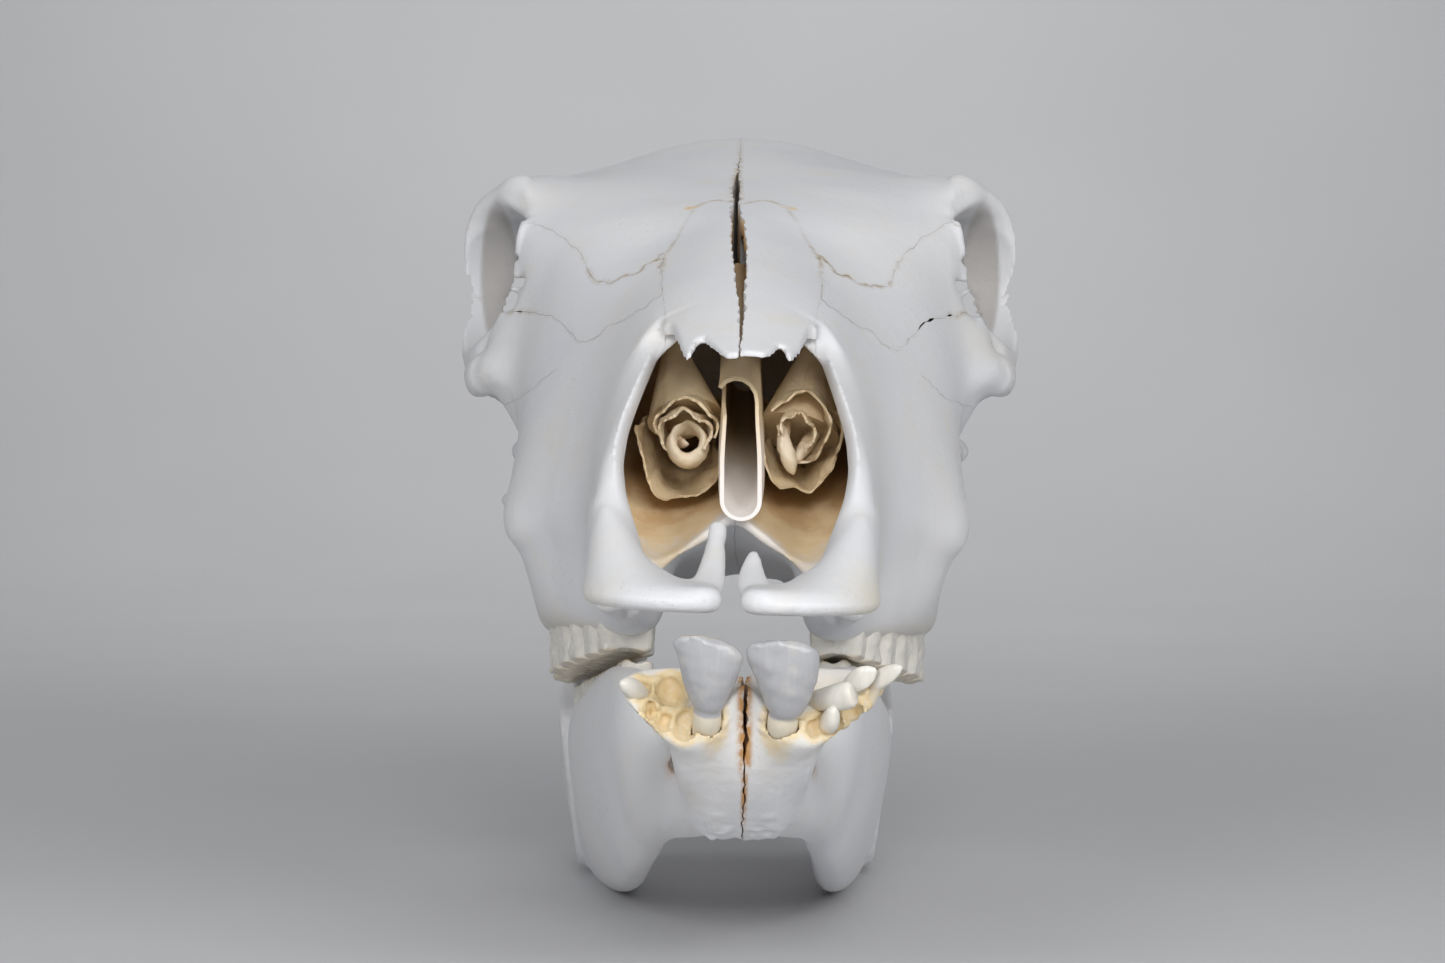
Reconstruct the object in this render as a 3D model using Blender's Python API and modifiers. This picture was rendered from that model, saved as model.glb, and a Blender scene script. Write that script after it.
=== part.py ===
"""Polled bull skull with its lower jaw, life size, as a museum shows it.

The skull is modelled whole: lofts through named guide curves, swept arches and rims, and a few ellipsoids
are fused, the orbits, nose and other hollows are carved, and the result is parted into its bones by thin
cuts along the sutures. Lengths in the tables are in millimetres and become metres where a mesh is made.
X is the skull's width, Y runs from the muzzle to the poll, Z is up, and the jaw rests on Z = 0.
"""

import math

import bmesh
import bpy
import numpy as np
from mathutils import Matrix, Vector

MM = 0.001
SIDES = {-1: "left", 1: "right"}

# Driving dimensions, in millimetres.
MUZZLE_Y = -216.5
JAW_SHIFT = 1.8
JAW_YAW = -0.026
TWIST = [(60, 0.035), (178, 0.022), (260, 0.0)]
TWIST_HEIGHT = 200.0
SUTURE_GAP = 0.35
SYMPHYSIS_GAP = 1.0
VOXEL = 2.4
FINE_VOXEL = 1.8
HEAD_TRIANGLES = 3400
JAW_TRIANGLES = 740

# Guide curves of the face, from the palate's front rim to the orbits: (distance behind the muzzle, x, z).
FACE_GUIDES = {
    "midline": [(60, 0, 196), (90, 0, 207), (127, 0, 221), (178, 0, 238), (230, 0, 254), (266, 0, 261)],
    "nasal edge": [(60, 16, 190), (90, 23, 201), (127, 26, 214), (178, 28, 229), (205, 30, 238),
                   (230, 42, 248), (266, 60, 255)],
    "upper cheek": [(60, 30, 178), (90, 35, 188), (127, 40, 197), (178, 49, 214), (205, 56, 226),
                    (230, 65, 238), (250, 76, 245), (266, 77, 246)],
    "cheek": [(60, 43, 158), (90, 44, 166), (127, 49, 171), (178, 65, 186), (205, 72, 198), (230, 78, 210),
              (250, 84, 222), (266, 84, 224)],
    "crest": [(60, 46, 140), (90, 46, 146), (127, 53, 149), (150, 64, 147), (178, 80, 141), (195, 79, 153),
              (210, 78, 168), (228, 82, 185), (245, 92, 192), (266, 93, 192)],
    "under crest": [(60, 45, 128), (90, 44, 128), (127, 49, 127), (150, 60, 130), (178, 74, 126),
                    (205, 73, 130), (230, 72, 142), (266, 71, 160)],
    "gum outer": [(60, 42, 117), (90, 39, 112), (127, 44, 106), (150, 53, 105), (178, 62, 103),
                  (205, 68, 101), (240, 69, 99), (266, 60, 104)],
    "gum inner": [(60, 34, 117), (90, 30, 112), (127, 26, 106), (150, 28, 105), (178, 34, 103),
                  (205, 39, 102), (240, 42, 100), (266, 42, 104)],
    "palate side": [(60, 24, 124), (90, 22, 128.5), (127, 19, 128), (178, 21, 123), (250, 24, 114),
                    (266, 24, 112)],
    "palate middle": [(60, 9, 134), (90, 9, 137.5), (127, 9, 133), (178, 9, 126.5), (230, 9, 119),
                      (266, 9, 114.6)],
    "palate": [(60, 0, 140), (90, 0, 143), (127, 0, 137), (178, 0, 129), (230, 0, 121), (266, 0, 116)],
}

# Guide curves of the forehead and braincase, from the frontonasal suture to the nape.
VAULT_GUIDES = {
    "midline": [(215, 0, 248), (235, 0, 255), (265, 0, 262), (295, 0, 269), (325, 0, 275), (355, 0, 281),
                (385, 0, 286), (400, 0, 287), (424, 0, 286)],
    "forehead": [(215, 18, 246), (235, 28, 252), (250, 38, 256), (265, 44, 260), (295, 50, 266),
                 (325, 43, 271), (355, 38, 276.5), (385, 30, 282), (400, 26, 283), (424, 22, 282)],
    "brow": [(215, 27, 240), (235, 46, 246), (250, 72, 248), (265, 79, 254), (280, 87, 259), (295, 93, 260),
             (305, 93, 260), (315, 90, 261), (325, 84, 263), (345, 73, 266), (365, 63, 268), (385, 54, 270),
             (400, 46, 271), (424, 38, 268)],
    "under brow": [(215, 26, 233), (235, 42, 238), (250, 69, 241), (265, 77, 247), (280, 85, 252),
                   (295, 91, 252), (305, 91, 252), (315, 87, 253), (325, 80, 255), (345, 69, 256),
                   (365, 61, 256), (385, 58, 252), (400, 57, 246), (424, 56, 240)],
    "upper wall": [(215, 24, 224), (235, 31, 228), (250, 48, 232), (265, 53, 236), (295, 55, 240),
                   (325, 53, 242), (345, 54, 238), (365, 58, 230), (385, 68, 220), (400, 76, 212),
                   (424, 74, 204)],
    "wall": [(215, 22, 205), (250, 36, 205), (280, 39, 206), (325, 44, 208), (345, 50, 206), (365, 58, 200),
             (385, 74, 192), (400, 84, 186), (424, 80, 178)],
    "lower wall": [(215, 20, 182), (250, 30, 176), (280, 30, 173), (325, 37, 168), (345, 43, 165),
                   (365, 52, 161), (385, 62, 157), (400, 66, 154), (424, 60, 150)],
    "base side": [(215, 10, 170), (250, 14, 158), (280, 16, 152), (310, 17, 149), (345, 18, 149),
                  (385, 22, 147), (424, 25, 143)],
    "base": [(215, 0, 170), (250, 0, 157), (280, 0, 151), (310, 0, 148), (345, 0, 148), (385, 0, 146),
             (424, 0, 143)],
}

# Guide curves of the hollow nose.
NOSE_GUIDES = {
    "roof": [(45, 0, 188), (90, 0, 202), (127, 0, 215), (178, 0, 232), (226, 0, 247)],
    "roof side": [(45, 14, 180), (90, 20, 194), (127, 22, 206), (178, 24, 222), (226, 14, 236)],
    "upper": [(45, 30, 162), (90, 33, 180), (127, 37, 190), (178, 44, 205), (226, 14, 220)],
    "side": [(45, 38, 148), (90, 40, 160), (127, 45, 165), (178, 52, 176), (226, 16, 190)],
    "low": [(45, 37, 134), (90, 39, 141), (127, 42, 144), (178, 46, 145), (226, 16, 165)],
    "floor side": [(45, 23, 126), (90, 23, 131.5), (127, 21, 133), (178, 20, 133), (226, 10, 150)],
    "floor middle": [(45, 9, 136), (90, 9, 140.5), (127, 9, 139), (178, 9, 136), (226, 5, 149)],
    "floor": [(45, 0, 143), (90, 0, 146), (127, 0, 142.5), (178, 0, 137), (226, 0, 148)],
}

# Everything of the face ahead of this line, seen from the side, is the open nose: (distance, z).
NOSE_OPENING = [(30, 240), (112, 240), (113, 208), (106, 196), (92, 172), (76, 148), (62, 124), (58, 100),
                (30, 100)]
PALATE_FRONT = 90.0
FISSURE_HALF_WIDTH = 33.0

# One nasal bone ahead of the opening: (distance, outer edge x, outer edge z, midline z, thickness), and its
# plan.
NASAL_ROWS = [(62, 24, 188, 196, 3.4), (80, 24, 195, 203, 3.8), (103, 25, 205, 212, 4.6),
              (140, 27, 216, 225, 5.4)]
NASAL_TIP = [(0.4, 69), (3, 66), (6, 65), (9, 70), (12, 78), (14.5, 72), (16, 67), (18, 74), (20, 92),
             (23, 106), (30, 112), (30, 140), (0.4, 140)]

# Open gap between the nasal bones and up into the forehead, in plan: (distance, middle x, half width).
NASAL_SLIT = [(60, 0, 0.3), (90, 0.1, 0.7), (128, -0.2, 1.7), (168, -1.2, 2.7), (215, -2.2, 1.9),
              (240, -1.6, 1.5), (268, -1.2, 1.1), (290, -0.8, 0.5)]

# Body of one incisive bone in plan, and its levels.
INCISIVE_PLATE = [(2.6, 8), (3.6, 4), (7, 1), (14, 0), (24, 2), (33, 7), (40, 15), (44.5, 25), (46, 38),
                  (44, 48), (38, 52), (34, 44), (28, 34), (20, 27), (12, 25), (8, 32), (4, 32)]
INCISIVE_LOW = 120.5
INCISIVE_HIGH = 128.5
INCISIVE_WING = [(34, 28, 125, 9, 6), (35.5, 40, 130.5, 9.8, 6), (36.8, 51, 138, 8.4, 6.5),
                 (38.3, 60, 145, 6.8, 7), (39.3, 67.5, 152, 5.3, 7.5), (39.5, 76, 161, 3.9, 8),
                 (37.2, 87, 173, 2.7, 7.4), (32.4, 99, 187, 2.2, 6), (27.6, 112, 199, 2, 4),
                 (25.4, 120, 205, 1.6, 2.4)]
INCISIVE_SPINES = {
    -1: [(-9, 22, 125, 3, 6), (-7.4, 34, 128, 3.4, 5.6), (-6, 45, 133, 3.2, 4.2), (-5.4, 54, 138, 3, 3.3),
         (-5, 60, 142, 3, 3.2), (-4.8, 63, 144, 3, 3.1)],
    1: [(9, 22, 125, 3, 6), (6.8, 32, 127.6, 3.4, 5.6), (6.2, 40, 131, 3, 4.2), (6.4, 46, 135, 2.4, 2.6),
        (6.6, 49, 137, 1.6, 1.4)],
}
# Where the wing's flank meets the side of the face: (z, x, distance).
FLANK = [(128, 45.5, 64), (140, 46, 71), (148, 46, 76), (160, 44.8, 84), (172, 42.8, 92), (184, 39.4, 99),
         (196, 34.6, 106), (204, 30.4, 111)]
# Slope from the plate's front edge up to the wing's rim: (x, front distance, rim distance, rim z).
INCISIVE_SLOPE = [(16, 1.5, 27, 129), (20, 2, 31, 131), (24, 3.4, 36, 133.5), (28, 5.6, 41, 138.5),
                  (32, 8.2, 46, 144), (36, 11.6, 50, 148), (40, 16.5, 53, 150), (43, 23, 53, 148),
                  (45, 31, 52, 143)]

# Behind these lines there is no vault: the nape seen from the side, (distance, z), and in plan, (x,
# distance).
NAPE = [(397, 310), (402, 286), (407, 276), (406, 262), (408, 230), (412, 196), (416, 176), (420, 150),
        (416, 120), (460, 120), (460, 310)]
NAPE_SIDE = [(28, 440), (40, 412), (60, 404), (80, 394), (92, 384), (120, 378), (120, 440)]

# Rim of the orbit as a ring: (x, distance behind the muzzle, z, half breadth across the ring, half depth).
ORBIT_RIM = [(75.5, 257, 251, 4.5, 3.4), (80, 249, 242, 4, 3), (81.5, 246, 229, 4, 3),
             (82.5, 247, 215, 4, 3), (88, 252, 205.5, 5, 3.6), (94, 262, 199.5, 5, 4.4),
             (98.5, 276, 196, 5, 5), (99.5, 290, 200, 6, 4.6), (97.3, 300, 212, 8, 3.6),
             (95.6, 304.5, 226, 9.8, 3.4), (93.6, 304, 240, 11.8, 3.6), (89, 297, 251.6, 10, 4.2),
             (82, 278, 257, 6, 4)]
# Hollow of the orbit, from outside inwards: (x, distance, z, half height, half breadth).
ORBIT_HOLLOW = [(122, 275, 227, 27, 27), (104, 277, 227, 27, 27), (94, 279, 226, 27.5, 27),
                (82, 281, 224, 27.5, 26), (70, 284, 220, 25, 24), (58, 287, 215, 21, 20),
                (48, 290, 210, 15, 15), (40, 292, 206, 8, 8)]

# Zygomatic arch from the facial crest to the jaw joint: (x, distance behind the muzzle, z, half height,
# half width).
ARCH = [(80, 225, 186, 8, 8), (88, 240, 191.5, 8, 8), (94.5, 254, 190.5, 8, 7), (97.5, 270, 190, 8, 5.5),
        (99, 286, 190, 8, 4.6), (98, 304, 190, 8, 4), (95, 320, 188.5, 7.5, 4), (90, 336, 185, 8, 4.6),
        (80, 349, 177, 9, 7), (62, 356, 170, 11, 10)]

# Upper cheek teeth, as a row: (distance behind the muzzle, outer x, inner x, gum z, chewing z).
UPPER_ROW = [(120, 42, 27, 112, 99.5), (135, 47, 25.6, 112, 96.5), (160, 56, 29, 110, 92),
             (190, 63, 35, 109, 87), (225, 68, 40.5, 108, 81), (256, 67, 43, 108, 76.5)]

# Lower jaw body: (distance behind the muzzle, top x, z and half breadth, bottom x, z and half breadth).
JAW_BODY = [(34, 10, 88, 8, 8, 56, 8), (46, 13, 83, 9, 8, 52, 8.5), (60, 16.5, 75, 8, 9, 49, 8.5),
            (80, 21.5, 71.5, 6.6, 12.5, 44, 7.2), (100, 27, 77, 6.8, 19, 39, 7.2),
            (112, 31, 84, 7.6, 23, 35.5, 7.6), (126, 34, 89, 8.4, 27, 32, 8.2),
            (152, 38, 87, 10.4, 31.5, 22, 9.2), (182, 43, 81.5, 11.6, 34.5, 12, 10),
            (214, 47, 75, 12.3, 37, 5.5, 11.4), (246, 49, 69, 11.8, 39, 0.5, 12.4),
            (278, 51.5, 72, 8.8, 44.5, -1, 10.6), (306, 54, 84, 7, 49.5, 1, 8.6),
            (330, 57, 80, 6.5, 54, 9, 7.6), (348, 60, 72, 6, 57, 26, 7)]
# Guide curves of the chin, from the middle outwards: (x, distance behind the muzzle, z), and its breadth by
# side.
CHIN_GUIDES = {
    "labial edge": [(0, 13, 97), (4, 11, 93.5), (8, 8.6, 87), (16, 8, 83), (20, 8, 82.6), (23, 9, 83),
                    (28, 10.5, 86), (33, 13, 90), (37, 15, 93.2), (40, 18, 97)],
    "slope": [(0, 18, 99), (8, 16, 94), (16, 17, 93), (20, 17.5, 93.5), (23, 18, 94), (28, 19, 95.5),
              (33, 20.5, 97.5), (37, 21, 98.5), (40, 20, 99)],
    "lingual top": [(0, 24, 100), (8, 26, 101.5), (16, 27, 102.3), (20, 27.5, 102.6), (23, 28, 102.6),
                    (28, 28, 102.4), (33, 27.5, 102), (37, 25.5, 101), (40, 22, 99.5)],
    "lingual side": [(0, 40, 92), (8, 40, 93.5), (16, 39, 95), (20, 38, 96), (23, 36.5, 96.5), (28, 34, 97),
                     (33, 31.5, 98), (37, 28, 98.5), (40, 23, 98.5)],
    "lingual base": [(0, 62, 76), (8, 62, 76), (16, 56, 79), (20, 50, 83), (23, 44, 87), (28, 38, 91),
                     (33, 33, 94), (37, 29, 96), (40, 23.5, 97.5)],
    "back": [(0, 62, 56), (8, 60, 56), (16, 54, 62), (20, 46, 70), (23, 40, 80), (28, 35, 87),
             (33, 31, 91.5), (37, 27, 94.5), (40, 22.5, 96.8)],
    "chin": [(0, 50, 47.5), (8, 49, 47.5), (13, 46, 49), (16, 42, 54), (20, 36, 66), (23, 28, 78.5),
             (28, 24, 85), (33, 22, 89.5), (37, 21, 93), (40, 20, 96.6)],
    "chin low": [(0, 34, 57), (8, 33, 58), (16, 28, 63), (20, 24, 70), (23, 19, 79.5), (28, 17, 85),
                 (33, 17.5, 89.3), (37, 18, 92.8), (40, 19, 96.6)],
    "chin high": [(0, 18, 74), (8, 17, 74), (16, 15, 75), (20, 14, 77), (23, 13, 81), (28, 13, 85.3),
                  (33, 15, 89.5), (37, 16.5, 92.8), (40, 18.5, 96.8)],
}
CHIN_SPREAD = {-1: 0.87, 1: 1.13}

# Outline of the jaw's ramus seen from the side: (distance behind the muzzle, z).
RAMUS = [(262, 58), (276, 74), (287, 100), (294, 128), (299, 152), (304, 172), (312, 188), (323, 197),
         (332, 196), (332, 184), (326, 170), (326, 158), (331, 149), (340, 146), (352, 145), (356, 138),
         (352, 126), (348, 106), (350, 84), (354, 60), (352, 38), (344, 20), (328, 8), (306, 3), (280, 10)]
RAMUS_BOTTOM_X = 51.5
RAMUS_TOP_X = 68.0
RAMUS_THICKNESS = 9.0

# Lower cheek teeth: (distance behind the muzzle, outer x, inner x, gum z, chewing z).
LOWER_ROW = [(126, 38, 26.5, 80, 96.2), (150, 42, 29, 76, 91.9), (185, 48.5, 34, 72, 85.8),
             (220, 54, 39, 66, 80), (260, 58, 44, 64, 74.2)]

# First lower incisors by side, from root to edge: (x, distance, z, half breadth, half thickness).
INCISORS = {
    -1: [(-11.5, 26, 74, 3.4, 3.4), (-11.5, 17, 81, 4.2, 4.1), (-11.4, 11.4, 87.4, 4.3, 3.9),
         (-10.95, 6.4, 95, 5.7, 4.0), (-10.7, 3.8, 100.9, 8, 4.0), (-10.4, 1.8, 106.6, 9.5, 3),
         (-12.2, 0.6, 111.2, 9.1, 1.9), (-14.8, 0.1, 113.9, 5.4, 1.1)],
    1: [(11.5, 27, 73, 3.4, 3.4), (11.4, 17.6, 80, 4.4, 4.2), (11.4, 12, 86.6, 4.6, 4.1),
        (12.3, 7, 93, 6.2, 4), (12.2, 4.4, 99, 8.4, 4.2), (11.6, 2.4, 104.4, 10.1, 3.4),
        (10.8, 0.9, 109.4, 10.7, 2.2), (9.9, 0.1, 112.8, 6, 1.2)],
}
# Hollows of the lost teeth's sockets by side: (x, distance, z), radii.
SOCKETS = {
    -1: [((-22.4, 18.5, 98), (5.0, 8, 6.6)), ((-18.2, 9.5, 88), (4.4, 7, 5.6)), ((-24.2, 12, 88.6),
                                                                                 (2.8, 6, 3.8)),
         ((-28.2, 14, 91), (1.9, 6, 3.4)), ((-30.6, 19, 97.6), (3.4, 6, 3.6))],
    1: [((25.4, 10.6, 88.2), (4.6, 6.4, 4.8)), ((32.4, 13, 90.6), (3.6, 6, 3.6)), ((39.4, 16, 94.8),
                                                                                   (3.4, 5, 2.8)),
        ((20.6, 11, 86.6), (2.4, 5, 3.4))],
}
# Small front teeth by side, from root to tip: (x, distance, z, half height, half breadth).
SMALL_TEETH = {
    -1: [[(-26, 28, 92, 1.5, 1.5), (-29.8, 22.5, 94.6, 2.1, 1.9), (-32, 19.5, 96.2, 2.9, 2.3),
          (-34, 16.4, 97.6, 3.1, 2.2), (-36, 13.8, 98.8, 2.2, 1.7), (-37.2, 12.3, 99.5, 0.7, 0.6)]],
    1: [[(27, 25, 94, 1.6, 1.4), (29.6, 19.6, 97.8, 1.8, 1.5), (31.6, 17.4, 99.4, 2.9, 1.9),
         (34.4, 15.8, 100.8, 3.4, 2), (36.8, 15.6, 101.4, 2.8, 1.8), (38.1, 16, 101.6, 1.2, 0.9)],
        [(37.6, 22, 93, 2.2, 2), (38.8, 20, 97.4, 2.6, 2), (39.8, 18.6, 100.8, 2.3, 1.8),
         (41.6, 16.6, 102.6, 2, 1.7), (43.8, 14.6, 103.8, 1.6, 1.3), (45.3, 13.6, 104.4, 0.5, 0.4)],
        [(15, 25, 93.4, 2.2, 2.2), (21.4, 17, 94.6, 3, 3), (26.4, 11.6, 95.3, 3.9, 3.6),
         (29.8, 8.2, 95.8, 4.4, 3.8), (31.2, 6.9, 96, 4.2, 3.5), (31.7, 6.5, 96.1, 3.4, 2.7)],
        [(24, 20, 84, 2, 2), (25, 14, 86.8, 3.2, 2.8), (25.7, 11, 89, 3.6, 2.6), (26.1, 9, 91.4, 2.3, 1.9),
         (26.3, 8.3, 92.8, 0.7, 0.6)]],
}

# Vomer, a trough that stands on the nose's floor: (distance, half breadth, bottom z, top z).
VOMER = [(86, 6.4, 147, 182), (98, 7, 148.5, 186), (120, 7, 155, 192), (150, 6.5, 166, 198),
         (196, 5.5, 184, 206)]
VOMER_WALL = 2.0
# Ventral concha, a scroll in each half of the nose: (x, distance, z, half height, half breadth).
CONCHA = [(17.6, 111, 168, 14, 9), (17.8, 118, 170, 19, 9.8), (18.4, 140, 173, 18, 10.5),
          (18.6, 165, 177, 13, 8), (18.5, 188, 182, 7, 5)]

# Sutures, as regions that each bone is cut out by. Nasal in plan: (x, distance).
NASAL_REGION = [(0, 40), (24.8, 40), (24.8, 107), (24.5, 112), (25.5, 125), (27, 150), (27.3, 182),
                (21.5, 205), (15.6, 227), (9.5, 232), (5, 230), (0, 223)]
NASAL_DEPTH = 17.0
# Incisive from the side: (distance, z).
INCISIVE_REGION = [(-20, 90), (58, 90), (62, 112), (68, 124), (82, 148), (98, 172), (111, 194), (121, 212),
                   (112, 222), (-20, 200)]
# Lacrimal and zygomatic from the front: (x, z).
LACRIMAL_REGION = [(27, 215.3), (28.8, 215), (32.7, 213), (36.3, 210), (42, 207.5), (46.5, 205.8),
                   (47.7, 203), (55, 199.5), (60, 206), (65.5, 210.6), (77, 213), (96, 214), (96, 240),
                   (76, 247), (73.5, 245), (67.4, 241.7), (61, 237), (57, 233), (53.5, 226), (51, 221.6),
                   (42.3, 223), (35, 226), (29.8, 230), (27, 234)]
ZYGOMATIC_REGION = [(55, 199), (65, 190), (76, 182.5), (86, 179), (92, 168), (120, 168), (120, 220),
                    (92, 220), (90, 214.2), (77, 213.2), (65.5, 210.8), (60, 206.2)]
# Frontal, palatine and maxilla from the side: (distance, z).
FRONTAL_REGION = [(150, 330), (150, 222), (215, 217), (240, 212), (290, 211), (312, 215), (340, 238),
                  (368, 249), (440, 262), (440, 330)]
PALATINE_REGION = [(228, 60), (228, 132), (262, 134), (300, 150), (345, 160), (345, 60)]
PALATINE_HALF_WIDTH = 27.0
MAXILLA_REGION = [(20, 60), (20, 320), (262, 320), (262, 60)]

BONE = (0.80, 0.78, 0.72)
WARM_BONE = (0.78, 0.70, 0.56)
INNER_BONE = (0.62, 0.50, 0.34)
ENAMEL = (0.86, 0.87, 0.88)


def clear_scene():
    """Removes what the scene starts with."""
    for thing in list(bpy.data.objects):
        bpy.data.objects.remove(thing)


def along(table, at):
    """The row of a table at a place along its first column, on a smooth curve through the rows."""
    rows = np.array(table, float)
    knots, values = rows[:, 0], rows[:, 1:]
    slopes = np.gradient(values, knots, axis=0)
    i = int(np.clip(np.searchsorted(knots, at) - 1, 0, len(knots) - 2))
    span = knots[i + 1] - knots[i]
    t = np.clip((at - knots[i]) / span, 0, 1)
    rise, fall = t * t * (3 - 2 * t), t * (t - 1)
    ends = values[i] * (1 - rise) + values[i + 1] * rise
    return ends + span * fall * ((t - 1) * slopes[i] + t * slopes[i + 1])


def smooth_path(points, steps, closed=False):
    """Points on a Catmull-Rom curve through the given ones, with some steps between each pair."""
    given = np.array(points, float)
    count = len(given)
    spans = count if closed else count - 1
    ends = (lambda i: given[i % count]) if closed else (lambda i: given[min(max(i, 0), count - 1)])
    path = []
    for i in range(spans):
        before, here, there, after = ends(i - 1), ends(i), ends(i + 1), ends(i + 2)
        for t in np.arange(steps) / steps:
            bend = 2 * before - 5 * here + 4 * there - after
            twist = 3 * (here - there) + after - before
            path.append(here + 0.5 * t * (there - before + t * (bend + t * twist)))
    if not closed:
        path.append(given[-1])
    return np.array(path)


def place(point):
    """A point of the tables, (x, distance behind the muzzle, z) in millimetres, in the world's metres."""
    return Vector((point[0] * MM, (point[1] + MUZZLE_Y) * MM, point[2] * MM))


def new_object(name, mesh_maker, group):
    """An object whose mesh is read from a bmesh, in a collection."""
    mesh = bpy.data.meshes.new(name)
    bmesh.ops.recalc_face_normals(mesh_maker, faces=mesh_maker.faces)
    mesh_maker.to_mesh(mesh)
    mesh_maker.free()
    thing = bpy.data.objects.new(name, mesh)
    group.objects.link(thing)
    return thing


def skin(name, rings, group, ring_closed=False):
    """A closed loft through rings of points, capped at both ends unless the rings themselves form a ring."""
    maker = bmesh.new()
    loops = [[maker.verts.new(place(point)) for point in ring] for ring in rings]
    pairs = list(zip(loops, loops[1:]))
    if ring_closed:
        pairs.append((loops[-1], loops[0]))
    for near, far in pairs:
        for i in range(len(near)):
            j = (i + 1) % len(near)
            maker.faces.new((near[i], near[j], far[j], far[i]))
    if not ring_closed:
        maker.faces.new(loops[0])
        maker.faces.new(loops[-1])
    return new_object(name, maker, group)


def guided_block(name, guides, stations, group):
    """A loft whose half sections run through the guides, from the midline round to the midline."""
    rings = []
    for at in stations:
        half = [along(guide, at) for guide in guides.values()]
        outline = half + [np.array((-x, z)) for x, z in half[-2:0:-1]]
        rings.append([(x, at, z) for x, z in smooth_path(outline, 3, closed=True)])
    return skin(name, rings, group)


def swept(name, path, group, reference, steps=3, sides=10, closed=False):
    """A tube along a path of (x, distance, z, half size along the reference, other half size)."""
    rows = smooth_path(path, steps, closed)
    count = len(rows)
    rings = []
    for i, row in enumerate(rows):
        ahead = rows[(i + 1) % count] if closed else rows[min(i + 1, count - 1)]
        behind = rows[i - 1] if closed else rows[max(i - 1, 0)]
        tangent = Vector(ahead[:3] - behind[:3]).normalized()
        across = tangent.cross(Vector(reference)).normalized()
        up = across.cross(tangent).normalized()
        ring = []
        for k in range(sides):
            turn = 2 * math.pi * k / sides
            offset = up * (row[3] * math.cos(turn)) + across * (row[4] * math.sin(turn))
            ring.append(Vector(row[:3]) + offset)
        rings.append(ring)
    return skin(name, rings, group, closed)


def ring_swept(name, path, centre, group, steps=2, sides=8):
    """A closed rim round a centre: its first half size lies across the ring, its second along the radius."""
    rows = smooth_path(path, steps, closed=True)
    count = len(rows)
    rings = []
    for i, row in enumerate(rows):
        tangent = Vector(rows[(i + 1) % count][:3] - rows[i - 1][:3]).normalized()
        radial = Vector(row[:3]) - Vector(centre)
        radial = (radial - tangent * radial.dot(tangent)).normalized()
        across = tangent.cross(radial).normalized()
        turns = [2 * math.pi * k / sides for k in range(sides)]
        middle = Vector(row[:3])
        rings.append([middle + across * (row[3] * math.cos(turn)) + radial * (row[4] * math.sin(turn))
                      for turn in turns])
    return skin(name, rings, group, ring_closed=True)


def ellipsoid(name, centre, radii, group, tilt=(0, 0, 0)):
    """A ball stretched to three radii, turned by degrees about X, Y and Z."""
    maker = bmesh.new()
    bmesh.ops.create_uvsphere(maker, u_segments=20, v_segments=12, radius=MM)
    turned = Matrix.Rotation(math.radians(tilt[2]), 4, "Z") @ Matrix.Rotation(math.radians(tilt[1]), 4, "Y")
    turned = turned @ Matrix.Rotation(math.radians(tilt[0]), 4, "X")
    where = Matrix.Translation(place(centre)) @ turned @ Matrix.Diagonal((*radii, 1))
    bmesh.ops.transform(maker, matrix=where, verts=maker.verts)
    return new_object(name, maker, group)


def cone(name, start, end, start_radius, end_radius, group):
    """A round bar between two points, tapered from one radius to the other."""
    low, high = place(start), place(end)
    maker = bmesh.new()
    bmesh.ops.create_cone(maker, cap_ends=True, segments=20, radius1=start_radius * MM, radius2=end_radius * MM,
                          depth=(high - low).length)
    turned = (high - low).to_track_quat("Z", "Y").to_matrix().to_4x4()
    bmesh.ops.transform(maker, matrix=Matrix.Translation((low + high) / 2) @ turned, verts=maker.verts)
    return new_object(name, maker, group)


def prism(name, outline, axis, low, high, group, slope=None):
    """An outline drawn across one axis and extended along it, from low to high. Axis x takes (distance, z).

    With a slope, low is measured from that function of the outline's second coordinate.
    """
    def corner(pair, depth):
        a, b = pair
        return {"x": (depth, a, b), "y": (a, depth, b), "z": (a, b, depth)}[axis]

    near = [corner(pair, low + (slope(pair[1]) if slope else 0)) for pair in outline]
    return skin(name, [near, [corner(pair, high) for pair in outline]], group)


def mirrored(thing, group):
    """The same shape on the skull's other side."""
    maker = bmesh.new()
    maker.from_mesh(thing.data)
    bmesh.ops.transform(maker, matrix=Matrix.Diagonal((-1, 1, 1, 1)), verts=maker.verts)
    return new_object(thing.name + "_other", maker, group)


def apply_modifiers(thing):
    """Replaces an object's mesh by what its modifiers make of it."""
    bpy.context.view_layer.update()
    graph = bpy.context.evaluated_depsgraph_get()
    made = bpy.data.meshes.new_from_object(thing.evaluated_get(graph))
    thing.modifiers.clear()
    thing.data = made


def fused(name, things, voxel, group):
    """One closed surface round all the given solids."""
    maker = bmesh.new()
    for thing in things:
        maker.from_mesh(thing.data)
        bpy.data.objects.remove(thing)
    whole = new_object(name, maker, group)
    remesh = whole.modifiers.new("fuse", "REMESH")
    remesh.mode = "VOXEL"
    remesh.voxel_size = voxel * MM
    apply_modifiers(whole)
    return whole


def combine(thing, other, operation, solver="EXACT"):
    """Cuts another solid from an object, joins it or keeps what both share."""
    cut = thing.modifiers.new("cut", "BOOLEAN")
    cut.operation = operation
    cut.solver = solver
    cut.object = other
    apply_modifiers(thing)


def carve(thing, cutters):
    """Takes all the cutters from an object."""
    for cutter in cutters:
        combine(thing, cutter, "DIFFERENCE")
        bpy.data.objects.remove(cutter)


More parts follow.
